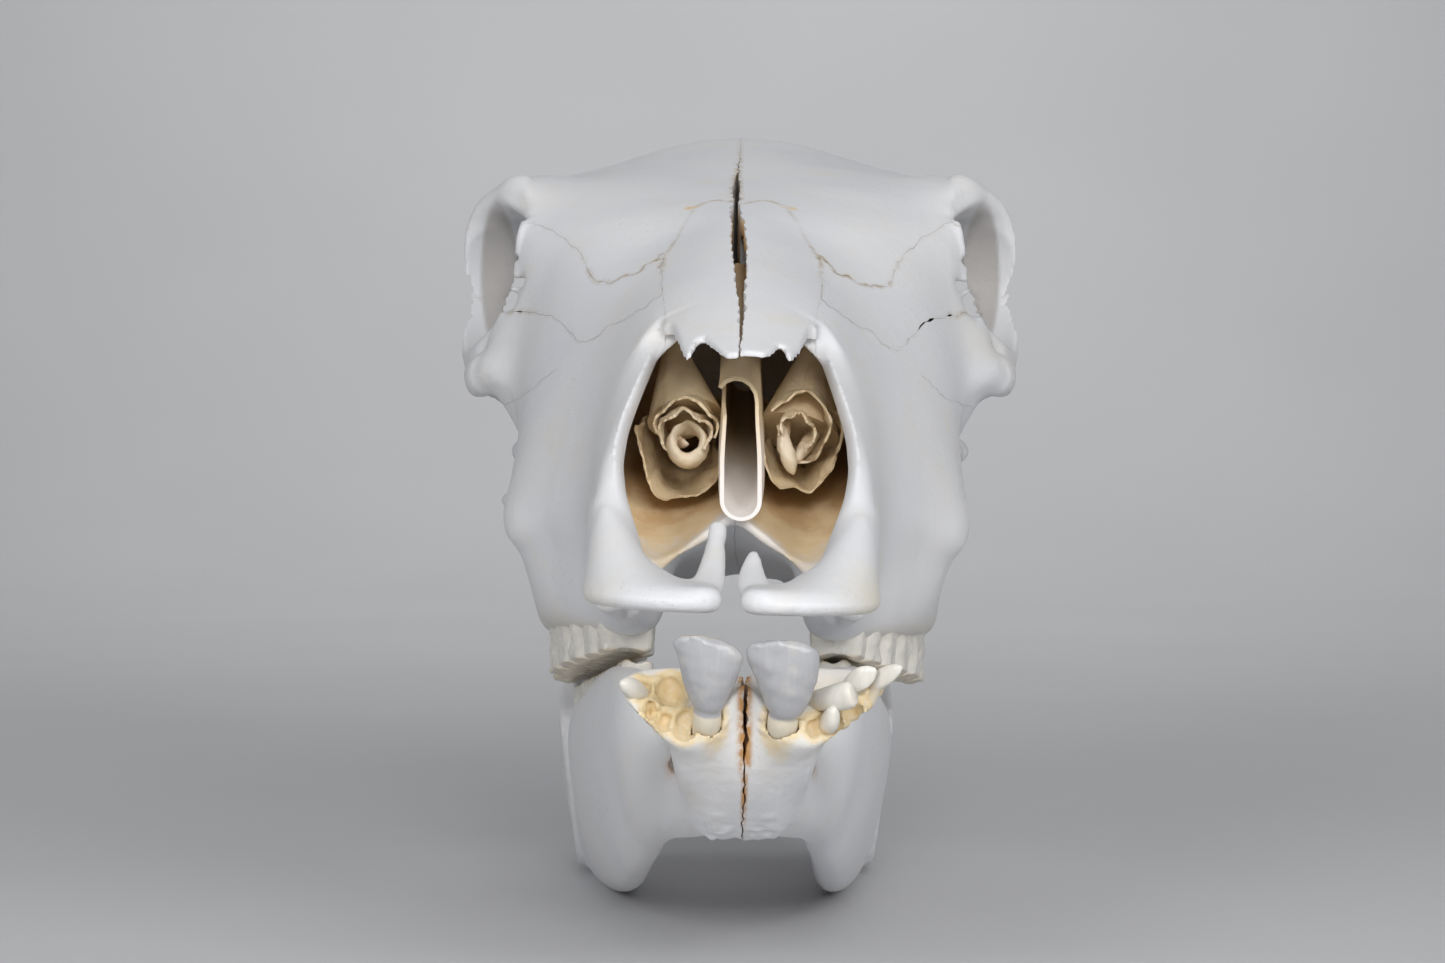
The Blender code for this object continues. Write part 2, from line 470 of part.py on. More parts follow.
def soften(thing, rounds, factor=0.5):
    """Smooths the surface."""
    maker = bmesh.new()
    maker.from_mesh(thing.data)
    for _ in range(rounds):
        bmesh.ops.smooth_vert(maker, verts=maker.verts, factor=factor, use_axis_x=True, use_axis_y=True,
                              use_axis_z=True)
    maker.to_mesh(thing.data)
    maker.free()


def face_block(group):
    """The face from the nose to the orbits, with nothing hollow yet."""
    return guided_block("face", FACE_GUIDES, np.linspace(60, 266, 24), group)


def vault_block(group):
    """Forehead, braincase and base."""
    return guided_block("vault", VAULT_GUIDES, np.linspace(215, 424, 26), group)


def row_block(name, rows, group):
    """A row of cheek teeth as one bar."""
    rings = []
    for at in np.linspace(rows[0][0], rows[-1][0], 14):
        outer, inner, gum, chew = along(rows, at)
        rings.append([(outer, at, gum), (outer, at, chew), (inner, at, chew), (inner, at, gum)])
    return skin(name, rings, group)


def both(thing, group):
    """The shape and its mirror image."""
    return [thing, mirrored(thing, group)]


def skull_solids(face, group):
    """Every solid that the skull without its jaw is fused from."""
    solids = [face, trimmed_vault(group)]
    for side in (-1, 1):
        solids.append(nasal_plate(side, group))
        solids += incisive_solids(side, group)
    sides = [
        ring_swept("rim", ORBIT_RIM, (92, 279, 226), group),
        swept("arch", ARCH, group, (0, 0, 1)),
        ellipsoid("bulla", (40, 374, 142), (10, 15, 14), group),
        cone("meatus", (52, 368, 176), (84, 372, 182), 11, 8, group),
        cone("paracondylar", (62, 402, 158), (56, 408, 102), 13, 4, group),
        ellipsoid("condyle", (27, 421, 151), (17, 14, 24), group, tilt=(12, 28, 0)),
        ellipsoid("joint tubercle", (69, 341, 160), (19, 6, 6), group),
        ellipsoid("joint", (68, 349, 160), (23, 12, 9), group),
        prism("pterygoid", [(258, 122), (262, 110), (300, 112), (312, 106), (322, 122), (330, 150),
                            (300, 170), (262, 165)], "x", 17, 22, group),
        row_block("upper teeth", UPPER_ROW, group),
    ]
    for side in sides:
        solids += both(side, group)
    return solids


def nasal_plate(side, group):
    """The free front of one nasal bone: a thin arched plate trimmed to the bone's notched end."""
    rings = []
    for at in np.linspace(62, 140, 12):
        edge, edge_z, mid_z, thickness = along(NASAL_ROWS, at)
        arch = [(edge * t, edge_z + (mid_z - edge_z) * (1 - t ** 2.2)) for t in np.linspace(0, 1, 6)]
        under = [(x, z - thickness) for x, z in reversed(arch)]
        rings.append([(side * x, at, z) for x, z in arch + under])
    plate = skin("nasal plate", rings, group)
    trim = prism("trim", [(side * x, y) for x, y in NASAL_TIP], "z", 150, 260, group)
    combine(plate, trim, "INTERSECT")
    bpy.data.objects.remove(trim)
    return plate


def incisive_solids(side, group):
    """One incisive bone: its flat body, its wing up the side of the nose and its thin middle spine."""
    outline = [(side * x, y) for x, y in INCISIVE_PLATE]
    plate = prism("plate", outline, "z", INCISIVE_LOW, INCISIVE_HIGH, group)
    wing = swept("wing", [(side * x, y, z, a, b) for x, y, z, a, b in INCISIVE_WING], group, (1, 0, 0))
    spine = swept("spine", INCISIVE_SPINES[side], group, (0, 0, 1))
    return [plate, wing, spine, flank_block(side, group), slope_block(side, group)]


def flank_block(side, group):
    """The slope from the wing's front edge back to the side of the face."""
    wing = np.array(INCISIVE_WING)
    rings = []
    for level in np.linspace(FLANK[0][0], FLANK[-1][0], 16):
        x, y, half, deep = (np.interp(level, wing[:, 2], wing[:, column]) for column in (0, 1, 3, 4))
        side_x, side_y = along(FLANK, level)
        plan = [(x - half, y + 2), (x - 0.5 * half, y - 0.85 * deep), (x + 0.3 * half, y - 0.82 * deep),
                (side_x + 0.3, side_y + 1), (side_x - 1, side_y + 12), (x - half + 2, side_y + 12)]
        rings.append([(side * a, b, level) for a, b in plan])
    return skin("flank", rings, group)


def slope_block(side, group):
    """The smooth slope from the plate's front edge up to the wing's rim."""
    rings = []
    for x in np.linspace(INCISIVE_SLOPE[0][0], INCISIVE_SLOPE[-1][0], 14):
        front, back, top = along(INCISIVE_SLOPE, x)
        plan = [(front + 0.8, 123.5), (front + 1.4, 127.8),
                (front + 0.65 * (back - front), 128.6 + 0.63 * (top - 128)), (back, top),
                (back + 5, top - 4), (back, 123.5)]
        rings.append([(side * x, y, z) for y, z in plan])
    return skin("slope", rings, group)


def hollows(group):
    """Solids that are carved from the fused head: the nose, orbits, fissures, foramina and nape."""
    slit = [(x - half, y) for y, x, half in NASAL_SLIT]
    slit += [(x + half, y) for y, x, half in reversed(NASAL_SLIT)]
    behind = [pair for pair in slit if pair[1] > 200]
    cutters = [
        guided_block("nose hollow", NOSE_GUIDES, np.linspace(45, 226, 16), group),
        prism("slit", [pair for pair in slit if pair[1] < 230], "z", 190, 290, group),
        prism("forehead slit", behind, "z", 218, 290, group),
        cone("foramen magnum", (0, 450, 162), (0, 396, 165), 18, 15, group),
    ]
    sides = [
        swept("orbit", ORBIT_HOLLOW, group, (0, 0, 1), sides=16),
        cone("optic canal", (50, 288, 207), (20, 300, 200), 5, 3, group),
        cone("ear", (95, 373, 183), (66, 369, 178), 4.5, 3.5, group),
        cone("infraorbital", (46, 108, 155), (54, 146, 156), 4.6, 3.0, group),
    ]
    for side in sides:
        cutters += both(side, group)
    return cutters


def trimmed_vault(group):
    """The vault with its nape: a hollow, steep surface under the poll that turns forward at the sides."""
    vault = vault_block(group)
    cutters = [prism("nape", NAPE, "x", -130, 130, group)]
    cutters += both(prism("nape side", NAPE_SIDE, "z", 60, 330, group), group)
    carve(vault, cutters)
    return vault


def build_head(group):
    """The skull without its jaw, as one surface."""
    face = face_block(group)
    fissure = [(-FISSURE_HALF_WIDTH, 20), (FISSURE_HALF_WIDTH, 20), (FISSURE_HALF_WIDTH, PALATE_FRONT - 8),
               (20, PALATE_FRONT), (-20, PALATE_FRONT), (-FISSURE_HALF_WIDTH, PALATE_FRONT - 8)]
    carve(face, [prism("opening", NOSE_OPENING, "x", -70, 70, group),
                 prism("fissure", fissure, "z", 90, 150, group)])
    solids = skull_solids(face, group)
    head = fused("head", solids, VOXEL, group)
    carve(head, hollows(group))
    head = fused("head", [head], FINE_VOXEL, group)
    soften(head, 2)
    thinned(head, HEAD_TRIANGLES)
    return head


def thinned(thing, triangles):
    """Collapses a fine mesh to about a number of triangles."""
    faces = sum(len(face.vertices) - 2 for face in thing.data.polygons)
    thin = thing.modifiers.new("thin", "DECIMATE")
    thin.ratio = min(1, triangles / faces)
    thin.use_collapse_triangulate = True
    apply_modifiers(thing)


def grown(outline, gap):
    """An outline moved outwards by a gap."""
    points = np.array(outline, float)
    after, before = np.roll(points, -1, 0), np.roll(points, 1, 0)
    turn = np.sign(np.sum(points[:, 0] * after[:, 1] - after[:, 0] * points[:, 1]))

    def outward(start, end):
        step = (end - start) / np.linalg.norm(end - start, axis=1)[:, None]
        return np.stack([step[:, 1], -step[:, 0]], 1) * turn

    first, second = outward(before, points), outward(points, after)
    middle = first + second
    reach = np.maximum(np.sum(middle * first, 1), 0.4)
    return [tuple(pair) for pair in points + middle * gap / reach[:, None]]


def keep_largest(thing):
    """Drops the crumbs that a cut leaves beside the piece itself."""
    maker = bmesh.new()
    maker.from_mesh(thing.data)
    unseen, islands = set(maker.faces), []
    while unseen:
        island, edge = [], [unseen.pop()]
        while edge:
            face = edge.pop()
            island.append(face)
            near = {other for line in face.edges for other in line.link_faces} & unseen
            unseen -= near
            edge += near
        islands.append(island)
    islands.sort(key=len)
    crumbs = [face for island in islands[:-1] for face in island]
    bmesh.ops.delete(maker, geom=crumbs, context="FACES")
    maker.to_mesh(thing.data)
    maker.free()


def part_off(name, whole, side, outline, axis, low, high, colour, group, slope=None):
    """Cuts one bone out of the whole along a region's walls, leaving a thin gap, and returns it."""
    if side and axis != "x":
        outline = [(side * x, other) for x, other in outline]
    if side and axis == "x":
        low, high = sorted((side * low, side * high))
    region = prism("region", outline, axis, low, high, group, slope)
    bone = bpy.data.objects.new(name, whole.data.copy())
    group.objects.link(bone)
    combine(bone, region, "INTERSECT", "MANIFOLD")
    keep_largest(bone)
    bpy.data.objects.remove(region)
    wide = prism("region", grown(outline, SUTURE_GAP), axis, low - SUTURE_GAP, high + SUTURE_GAP, group, slope)
    combine(whole, wide, "DIFFERENCE", "MANIFOLD")
    bpy.data.objects.remove(wide)
    paint(bone, colour)
    return bone


def paint(thing, colour, roughness=0.6):
    """Gives an object a material of its own."""
    material = bpy.data.materials.new(thing.name)
    material.use_nodes = True
    shader = material.node_tree.nodes["Principled BSDF"]
    shader.inputs["Base Color"].default_value = (*colour, 1)
    shader.inputs["Roughness"].default_value = roughness
    shader.inputs["Metallic"].default_value = 0
    thing.data.materials.clear()
    thing.data.materials.append(material)
    thing.data.shade_flat()


def dorsal_height(at):
    """Height of the face's midline at a distance behind the muzzle."""
    return along(FACE_GUIDES["midline"], at)[1]


def part_head(head, group):
    """Parts the head into its bones along the sutures. What is left is the braincase."""
    width = 125
    middle = SUTURE_GAP / 2
    for side, word in SIDES.items():
        part_off("nasal_" + word, head, side, NASAL_REGION, "z", -NASAL_DEPTH, 275, BONE, group, dorsal_height)
    for side, word in SIDES.items():
        part_off("incisive_" + word, head, side, INCISIVE_REGION, "x", middle, width, BONE, group)
        part_off("lacrimal_" + word, head, side, LACRIMAL_REGION, "y", 130, 262, BONE, group)
        part_off("zygomatic_" + word, head, side, ZYGOMATIC_REGION, "y", 180, 318, WARM_BONE, group)
        part_off("frontal_" + word, head, side, FRONTAL_REGION, "x", middle, width, BONE, group)
    for side, word in SIDES.items():
        part_off("palatine_" + word, head, side, PALATINE_REGION, "x", middle, PALATINE_HALF_WIDTH, BONE, group)
        part_off("maxilla_" + word, head, side, MAXILLA_REGION, "x", middle, width, BONE, group)
    keep_largest(head)
    head.name = "braincase"
    paint(head, BONE)


def build_incisor(side, word, group):
    """The first lower incisor, a spade on a round root."""
    tooth = tooth_loft("incisor_" + word, side, 0, group)
    turned_jaw(tooth)
    paint(tooth, ENAMEL, 0.3)


def tooth_loft(name, side, clearance, group):
    """An incisor from level rings, or what clears it by a distance."""
    turns = [2 * math.pi * k / 10 for k in range(10)]
    rows = list(INCISORS[side])
    if clearance:
        x, y, z, broad, thick = rows[0]
        rows.insert(0, (x, y + 4 * clearance, z - 4 * clearance, broad, thick))
    rings = []
    for x, y, z, broad, thick in rows:
        rings.append([(x + (broad + clearance) * math.cos(turn), y + (thick + clearance) * math.sin(turn), z)
                      for turn in turns])
    return skin(name, rings, group)


def build_vomer(group):
    """The vomer as a trough with an open top."""
    rings = []
    for at in np.linspace(VOMER[0][0], VOMER[-1][0], 6):
        half, low, high = along(VOMER, at)
        turns = np.linspace(math.pi, 2 * math.pi, 6)
        inner = half - VOMER_WALL
        outside = [(half * math.cos(t), low + half + half * math.sin(t)) for t in turns]
        inside = [(inner * math.cos(t), low + half + inner * math.sin(t)) for t in reversed(turns)]
        outline = [(-half, high)] + outside + [(half, high), (inner, high)] + inside + [(-inner, high)]
        rings.append([(x, at, z) for x, z in outline])
    vomer = skin("vomer", rings, group)
    paint(vomer, INNER_BONE)


def build_concha(side, word, group):
    """The thin scroll in one half of the nose, closed."""
    path = [(side * x, y, z, high, broad) for x, y, z, high, broad in CONCHA]
    concha = swept("ventral_concha_" + word, path, group, (0, 0, 1), steps=2, sides=10)
    paint(concha, INNER_BONE)


def chin_block(side, group):
    """The front of one half of the jaw, with its spoon of sockets: a skin laid from the middle outwards."""
    rings = []
    for at in (-6, 0, 5, 10, 13, 16, 18, 20, 21.5, 23, 25.5, 28, 33, 37, 40):
        spread = min(at, 20) + max(at - 20, 0) * CHIN_SPREAD[side]
        outline = [along(guide, max(at, 0)) for guide in CHIN_GUIDES.values()]
        rings.append([(side * spread, y, z) for y, z in smooth_path(outline, 3, closed=True)])
    return skin("chin", rings, group)


def body_block(side, group):
    """The bar of one half of the jaw, from the chin to its angle."""
    rings = []
    for at in np.linspace(JAW_BODY[0][0], JAW_BODY[-1][0], 30):
        top_x, top, top_half, bottom_x, bottom, bottom_half = along(JAW_BODY, at)
        ring = []
        for turn in np.linspace(0, 2 * math.pi, 16, endpoint=False):
            across = math.copysign(abs(math.cos(turn)) ** 0.85, math.cos(turn))
            share = (math.copysign(abs(math.sin(turn)) ** 0.85, math.sin(turn)) + 1) / 2
            middle = bottom_x + (top_x - bottom_x) * share
            half = bottom_half + (top_half - bottom_half) * share
            ring.append((side * (middle + half * across), at, bottom + (top - bottom) * share))
        rings.append(ring)
    return skin("jaw body", rings, group)


def build_jaw(side, word, group):
    """One half of the lower jaw with its cheek teeth."""
    ramus = prism("ramus", RAMUS, "x", -RAMUS_THICKNESS / 2, RAMUS_THICKNESS / 2, group)
    for corner in ramus.data.vertices:
        height = corner.co.z / MM / 150
        corner.co.x += (RAMUS_BOTTOM_X + (RAMUS_TOP_X - RAMUS_BOTTOM_X) * height) * MM
        corner.co.x *= side
    rows = [(at, side * outer, side * inner, gum, chew) for at, outer, inner, gum, chew in LOWER_ROW]
    solids = [body_block(side, group), chin_block(side, group), ramus, row_block("lower teeth", rows, group),
              ellipsoid("condyle", (side * 70, 349, 142), (18, 7, 6), group, tilt=(0, side * 6, 0))]
    jaw = fused("mandible_" + word, solids, FINE_VOXEL, group)
    soften(jaw, 3)
    carve(jaw, [ellipsoid("socket", centre, radii, group) for centre, radii in SOCKETS[side]])
    teeth = [swept("small tooth", path, group, (0, 0, 1), steps=2, sides=12) for path in SMALL_TEETH[side]]
    jaw = fused("mandible_" + word, [jaw] + teeth, FINE_VOXEL, group)
    soften(jaw, 1)
    thinned(jaw, JAW_TRIANGLES)
    floor = prism("floor", [(-20, -30), (400, -30), (400, 0), (-20, 0)], "x", -120, 120, group)
    inner, outer = sorted((-side * 60, side * SYMPHYSIS_GAP / 2))
    symphysis = prism("symphysis", [(-20, 20), (110, 20), (110, 130), (-20, 130)], "x", inner, outer, group)
    carve(jaw, [tooth_loft("socket", side, 0.5, group), floor, symphysis])
    keep_largest(jaw)
    turned_jaw(jaw)
    paint(jaw, BONE)


def turned_jaw(thing):
    """Lays the lower jaw a little askew under the head."""
    shear = Matrix.Identity(4)
    shear[0][1] = JAW_YAW
    shear[0][3] = (JAW_SHIFT + JAW_YAW * -MUZZLE_Y) * MM
    thing.data.transform(shear)


def twisted(thing):
    """The slight turn of the face about its length, which grows towards the muzzle."""
    for corner in thing.data.vertices:
        x, z = corner.co.x, corner.co.z
        turn = np.interp(corner.co.y / MM - MUZZLE_Y, *zip(*TWIST))
        corner.co.x = x - turn * (TWIST_HEIGHT * MM - z)
        corner.co.z = z - turn * x


def centre_footprint(group):
    """Puts the middle of the whole skull's footprint on the origin."""
    corners = [Vector(corner) for thing in group.objects for corner in thing.bound_box]
    low_x, high_x = min(c.x for c in corners), max(c.x for c in corners)
    low_y, high_y = min(c.y for c in corners), max(c.y for c in corners)
    shift = Matrix.Translation((-(low_x + high_x) / 2, -(low_y + high_y) / 2, 0))
    for thing in group.objects:
        thing.data.transform(shift)


def main():
    clear_scene()
    group = bpy.data.collections.new("bull_skull")
    bpy.context.scene.collection.children.link(group)
    head = build_head(group)
    part_head(head, group)
    build_vomer(group)
    for side, word in SIDES.items():
        build_concha(side, word, group)
    for bone in group.objects:
        twisted(bone)
    for side, word in SIDES.items():
        build_jaw(side, word, group)
        build_incisor(side, word, group)
    centre_footprint(group)


main()
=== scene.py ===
"""Looks of a young polled bull's skull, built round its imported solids.

The head is fused from the same guide curves as the solids, at a fine pitch, then carved, worked over with
strokes along the surface and parted along ragged sutures. Teeth, the trough of the vomer and the scrolls in
the nose are meshes of their own. Tables are in millimetres: x is the width, the second number is the distance
behind the muzzle and z is the height above the floor.
"""
import math

import bmesh
import bpy
import numpy as np
from mathutils import Matrix, Vector, kdtree


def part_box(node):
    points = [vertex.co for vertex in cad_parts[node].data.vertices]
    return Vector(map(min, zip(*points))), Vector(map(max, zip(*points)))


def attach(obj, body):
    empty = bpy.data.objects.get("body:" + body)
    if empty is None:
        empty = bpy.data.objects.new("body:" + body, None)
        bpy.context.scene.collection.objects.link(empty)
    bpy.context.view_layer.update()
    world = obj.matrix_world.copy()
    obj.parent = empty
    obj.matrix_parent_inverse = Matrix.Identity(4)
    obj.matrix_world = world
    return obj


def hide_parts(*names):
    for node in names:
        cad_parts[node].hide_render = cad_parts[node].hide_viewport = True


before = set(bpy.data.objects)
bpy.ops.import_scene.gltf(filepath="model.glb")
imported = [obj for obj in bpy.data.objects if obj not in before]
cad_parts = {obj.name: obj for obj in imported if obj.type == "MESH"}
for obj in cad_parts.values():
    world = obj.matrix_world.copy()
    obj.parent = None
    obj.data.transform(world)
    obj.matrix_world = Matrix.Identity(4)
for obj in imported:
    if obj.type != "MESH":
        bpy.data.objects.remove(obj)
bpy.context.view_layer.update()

bl_info = {
    "name": "Young bull skull",
    "version": (1, 0, 0),
    "blender": (4, 5, 0),
    "location": "View3D > Sidebar > Skull",
    "description": "Builds the bones and teeth of a young polled bull's skull and their finishes",
    "category": "Add Mesh",
}

MM = 0.001
SIDES = {-1: "left", 1: "right"}

# Where the tables' origin lies in the frame: in the head's middle plane, ahead of the vomer's front end.
HEAD_MIDDLE = -0.15
VOMER_FRONT = 86
OFFSET = (HEAD_MIDDLE * MM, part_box("vomer")[0].y - VOMER_FRONT * MM)

# The lower jaw lies askew: its shift to the right at the muzzle, and how that changes with the distance.
JAW_SHIFT = 1.8
JAW_YAW = -0.026

# The face is turned about its length at this height: (distance, turn in radians).
TWIST = [(60, 0.035), (178, 0.022), (260, 0.0)]
TWIST_HEIGHT = 200.0

# Guide curves of the face, from the palate's front rim to the orbits: (distance behind the muzzle, x, z).
FACE_GUIDES = {
    "midline": [(60, 0, 196), (90, 0, 207), (127, 0, 221), (178, 0, 238), (230, 0, 254), (266, 0, 261)],
    "nasal edge": [(60, 16, 190), (90, 23, 201), (127, 26, 214), (178, 28, 229), (205, 30, 238),
                   (230, 42, 248), (266, 60, 255)],
    "upper cheek": [(60, 30, 178), (90, 35, 188), (127, 40, 197), (178, 49, 214), (205, 56, 226),
                    (230, 65, 238), (250, 76, 245), (266, 77, 246)],
    "cheek": [(60, 43, 158), (90, 44, 166), (127, 49, 171), (178, 65, 186), (205, 72, 198), (230, 78, 210),
              (250, 84, 222), (266, 84, 224)],
    "crest": [(60, 46, 140), (90, 46, 146), (127, 53, 149), (150, 64, 147), (178, 80, 141), (195, 79, 153),
              (210, 78, 168), (228, 82, 185), (245, 92, 192), (266, 93, 192)],
    "under crest": [(60, 45, 128), (90, 44, 128), (127, 49, 127), (150, 60, 130), (178, 74, 126),
                    (205, 73, 130), (230, 72, 142), (266, 71, 160)],
    "gum outer": [(60, 42, 117), (90, 39, 112), (127, 44, 106), (150, 53, 105), (178, 62, 103),
                  (205, 68, 101), (240, 69, 99), (266, 60, 104)],
    "gum inner": [(60, 34, 117), (90, 30, 112), (127, 26, 106), (150, 28, 105), (178, 34, 103),
                  (205, 39, 102), (240, 42, 100), (266, 42, 104)],
    "palate side": [(60, 24, 124), (90, 22, 128.5), (127, 19, 128), (178, 21, 123), (250, 24, 114),
                    (266, 24, 112)],
    "palate middle": [(60, 9, 134), (90, 9, 137.5), (127, 9, 133), (178, 9, 126.5), (230, 9, 119),
                      (266, 9, 114.6)],
    "palate": [(60, 0, 140), (90, 0, 143), (127, 0, 137), (178, 0, 129), (230, 0, 121), (266, 0, 116)],
}

# Guide curves of the forehead and braincase, from the frontonasal suture to the nape.
VAULT_GUIDES = {
    "midline": [(215, 0, 248), (235, 0, 255), (265, 0, 262), (295, 0, 269), (325, 0, 275), (355, 0, 281),
                (385, 0, 286), (400, 0, 287), (424, 0, 286)],
    "forehead": [(215, 18, 246), (235, 28, 252), (250, 38, 256), (265, 44, 260), (295, 50, 266),
                 (325, 43, 271), (355, 38, 276.5), (385, 30, 282), (400, 26, 283), (424, 22, 282)],
    "brow": [(215, 27, 240), (235, 46, 246), (250, 72, 248), (265, 79, 254), (280, 87, 259), (295, 93, 260),
             (305, 93, 260), (315, 90, 261), (325, 84, 263), (345, 73, 266), (365, 63, 268), (385, 54, 270),
             (400, 46, 271), (424, 38, 268)],
    "under brow": [(215, 26, 233), (235, 42, 238), (250, 69, 241), (265, 77, 247), (280, 85, 252),
                   (295, 91, 252), (305, 91, 252), (315, 87, 253), (325, 80, 255), (345, 69, 256),
                   (365, 61, 256), (385, 58, 252), (400, 57, 246), (424, 56, 240)],
    "upper wall": [(215, 24, 224), (235, 31, 228), (250, 48, 232), (265, 53, 236), (295, 55, 240),
                   (325, 53, 242), (345, 54, 238), (365, 58, 230), (385, 68, 220), (400, 76, 212),
                   (424, 74, 204)],
    "wall": [(215, 22, 205), (250, 36, 205), (280, 39, 206), (325, 44, 208), (345, 50, 206), (365, 58, 200),
             (385, 74, 192), (400, 84, 186), (424, 80, 178)],
    "lower wall": [(215, 20, 182), (250, 30, 176), (280, 30, 173), (325, 37, 168), (345, 43, 165),
                   (365, 52, 161), (385, 62, 157), (400, 66, 154), (424, 60, 150)],
    "base side": [(215, 10, 170), (250, 14, 158), (280, 16, 152), (310, 17, 149), (345, 18, 149),
                  (385, 22, 147), (424, 25, 143)],
    "base": [(215, 0, 170), (250, 0, 157), (280, 0, 151), (310, 0, 148), (345, 0, 148), (385, 0, 146),
             (424, 0, 143)],
}

# Guide curves of the hollow nose, as the face's.
NOSE_GUIDES = {
    "roof": [(45, 0, 188), (90, 0, 202), (127, 0, 215), (178, 0, 232), (226, 0, 247)],
    "roof side": [(45, 14, 180), (90, 20, 194), (127, 22, 206), (178, 24, 222), (226, 14, 236)],
    "upper": [(45, 30, 162), (90, 33, 180), (127, 37, 190), (178, 44, 205), (226, 14, 220)],
    "side": [(45, 38, 148), (90, 40, 160), (127, 44, 170), (178, 48, 182), (226, 16, 195)],
    "low": [(45, 37, 134), (90, 39, 141), (110, 40, 147), (127, 40, 155), (178, 42, 170), (226, 16, 184)],
    "floor side": [(45, 23, 126), (90, 23, 131.5), (110, 23, 140), (127, 23, 149), (178, 20, 165),
                   (226, 10, 180)],
    "floor middle": [(45, 9, 136), (90, 9, 140.5), (110, 9, 146), (127, 9, 152), (178, 9, 168),
                     (226, 5, 182)],
    "floor": [(45, 0, 143), (90, 0, 146), (110, 0, 150), (127, 0, 155), (178, 0, 170), (226, 0, 184)],
}

# Ahead of this line, seen from the side, the nose is open: (distance, z). Its rim: (z, distance).
NOSE_OPENING = [(30, 240), (112, 240), (113, 208), (106, 196), (92, 172), (76, 148), (62, 124), (58, 100),
                (30, 100)]
NOSE_RIM = [(100, 58), (124, 62), (148, 76), (172, 92), (196, 106), (208, 113), (240, 113)]
# The fissures through the front of the palate, which end here.
PALATE_FRONT = 90.0
FISSURE_HALF_WIDTH = 33.0

# The free end of one nasal bone: (distance, outer edge x, outer edge z, midline z, thickness).
NASAL_ROWS = [(62, 24, 188, 196, 2.0), (80, 24, 195, 203, 2.6), (103, 25, 205, 212, 4.2),
              (140, 27, 216, 225, 5.4)]
# Its plan by side: (x, distance).
NASAL_TIPS = {
    -1: [(0.4, 73), (1.2, 69), (2.2, 67.4), (3.6, 67), (5, 68.4), (7, 73), (9, 78.4), (11, 83.6),
         (12.4, 85.4), (13.6, 83.4), (14.6, 78.6), (15.4, 75), (16.4, 74.4), (17.4, 77), (18.4, 82),
         (19.4, 89), (20.6, 97), (23, 106), (30, 112), (30, 140), (0.4, 140)],
    1: [(0.4, 74), (1.2, 70.4), (3, 69.2), (5, 70.2), (7, 69.8), (9, 72), (11, 76.6), (12.6, 83.6),
        (13.6, 84.6), (14.3, 80), (14.9, 75.6), (15.8, 74.6), (16.8, 77), (18, 82.4), (19.4, 88), (20.6, 96),
        (23, 106), (30, 112), (30, 140), (0.4, 140)],
}

# Gap between the nasal bones and up into the forehead, in plan: (distance, middle x, half width).
MIDLINE_GAP = [(55, 0, 0.3), (75, 0, 0.4), (90, 0.1, 0.7), (101, 0.2, 1.0), (128, -0.2, 1.7),
               (150, -0.8, 2.3), (168, -1.2, 2.7), (190, -1.5, 2.4), (215, -2.2, 1.9), (226, -1.9, 1.3),
               (240, -1.6, 1.5), (255, -1.4, 1.5), (268, -1.2, 1.1), (280, -1, 0.5), (300, -0.6, 0.25),
               (330, 0, 0.1), (450, 0, 0.1)]

# Body of one incisive bone in plan, (x, distance), and its levels.
INCISIVE_PLATE = [(2.6, 8), (3.6, 4), (7, 1), (14, 0), (24, 2), (33, 7), (40, 15), (44.5, 25), (46, 38),
                  (44, 48), (38, 52), (34, 44), (28, 34), (20, 27), (12, 25), (8, 32), (4, 32)]
INCISIVE_LOW = 120.5
INCISIVE_HIGH = 128.5
# The wing of one incisive bone: (x, distance, z, half breadth, half depth).
INCISIVE_WING = [(34, 28, 125, 9, 6), (35.5, 40, 130.5, 9.8, 6), (36.8, 51, 138, 8.4, 6.5),
                 (38.3, 60, 145, 6.8, 7), (39.3, 67.5, 152, 5.3, 7.5), (39.5, 76, 161, 3.9, 8),
                 (37.2, 87, 173, 2.7, 7.4), (32.4, 99, 187, 2.2, 6), (27.6, 112, 199, 2, 4),
                 (25.4, 120, 205, 1.6, 2.4)]
# Where the wing's flank meets the side of the face: (z, x, distance).
FLANK = [(128, 45.5, 64), (140, 46, 71), (148, 46, 76), (160, 44.8, 84), (172, 42.8, 92), (184, 39.4, 99),
         (196, 34.6, 106), (204, 30.4, 111)]
# Its slope from the plate's front edge up to the rim: (x, front distance, rim distance, rim z).
INCISIVE_SLOPE = [(16, 1.5, 27, 129), (20, 2, 31, 131), (24, 3.4, 36, 133.5), (28, 5.6, 41, 138.5),
                  (32, 8.2, 46, 144), (36, 11.6, 50, 148), (40, 16.5, 53, 150), (43, 23, 53, 148),
                  (45, 31, 52, 143)]
# Its middle spine by side: (x, distance, z, half height, half breadth).
INCISIVE_SPINES = {
    -1: [(-9, 22, 125, 3, 6), (-7.4, 34, 128, 3.4, 5.6), (-6, 45, 133, 3.2, 4.2), (-5.4, 54, 138, 3, 3.3),
         (-5, 60, 142, 3, 3.2), (-4.8, 63, 144, 3, 3.1)],
    1: [(9, 22, 125, 3, 6), (6.8, 32, 127.6, 3.4, 5.6), (6.2, 40, 131, 3, 4.2), (6.4, 46, 135, 2.4, 2.6),
        (6.6, 49, 137, 1.6, 1.4)],
}

# Behind these lines there is no vault: the nape from the side, (distance, z), and in plan, (x, distance).
NAPE = [(397, 310), (402, 286), (407, 276), (406, 262), (408, 230), (412, 196), (416, 176), (420, 150),
        (416, 120), (460, 120), (460, 310)]
NAPE_SIDE = [(28, 440), (40, 412), (60, 404), (80, 394), (92, 384), (120, 378), (120, 440)]

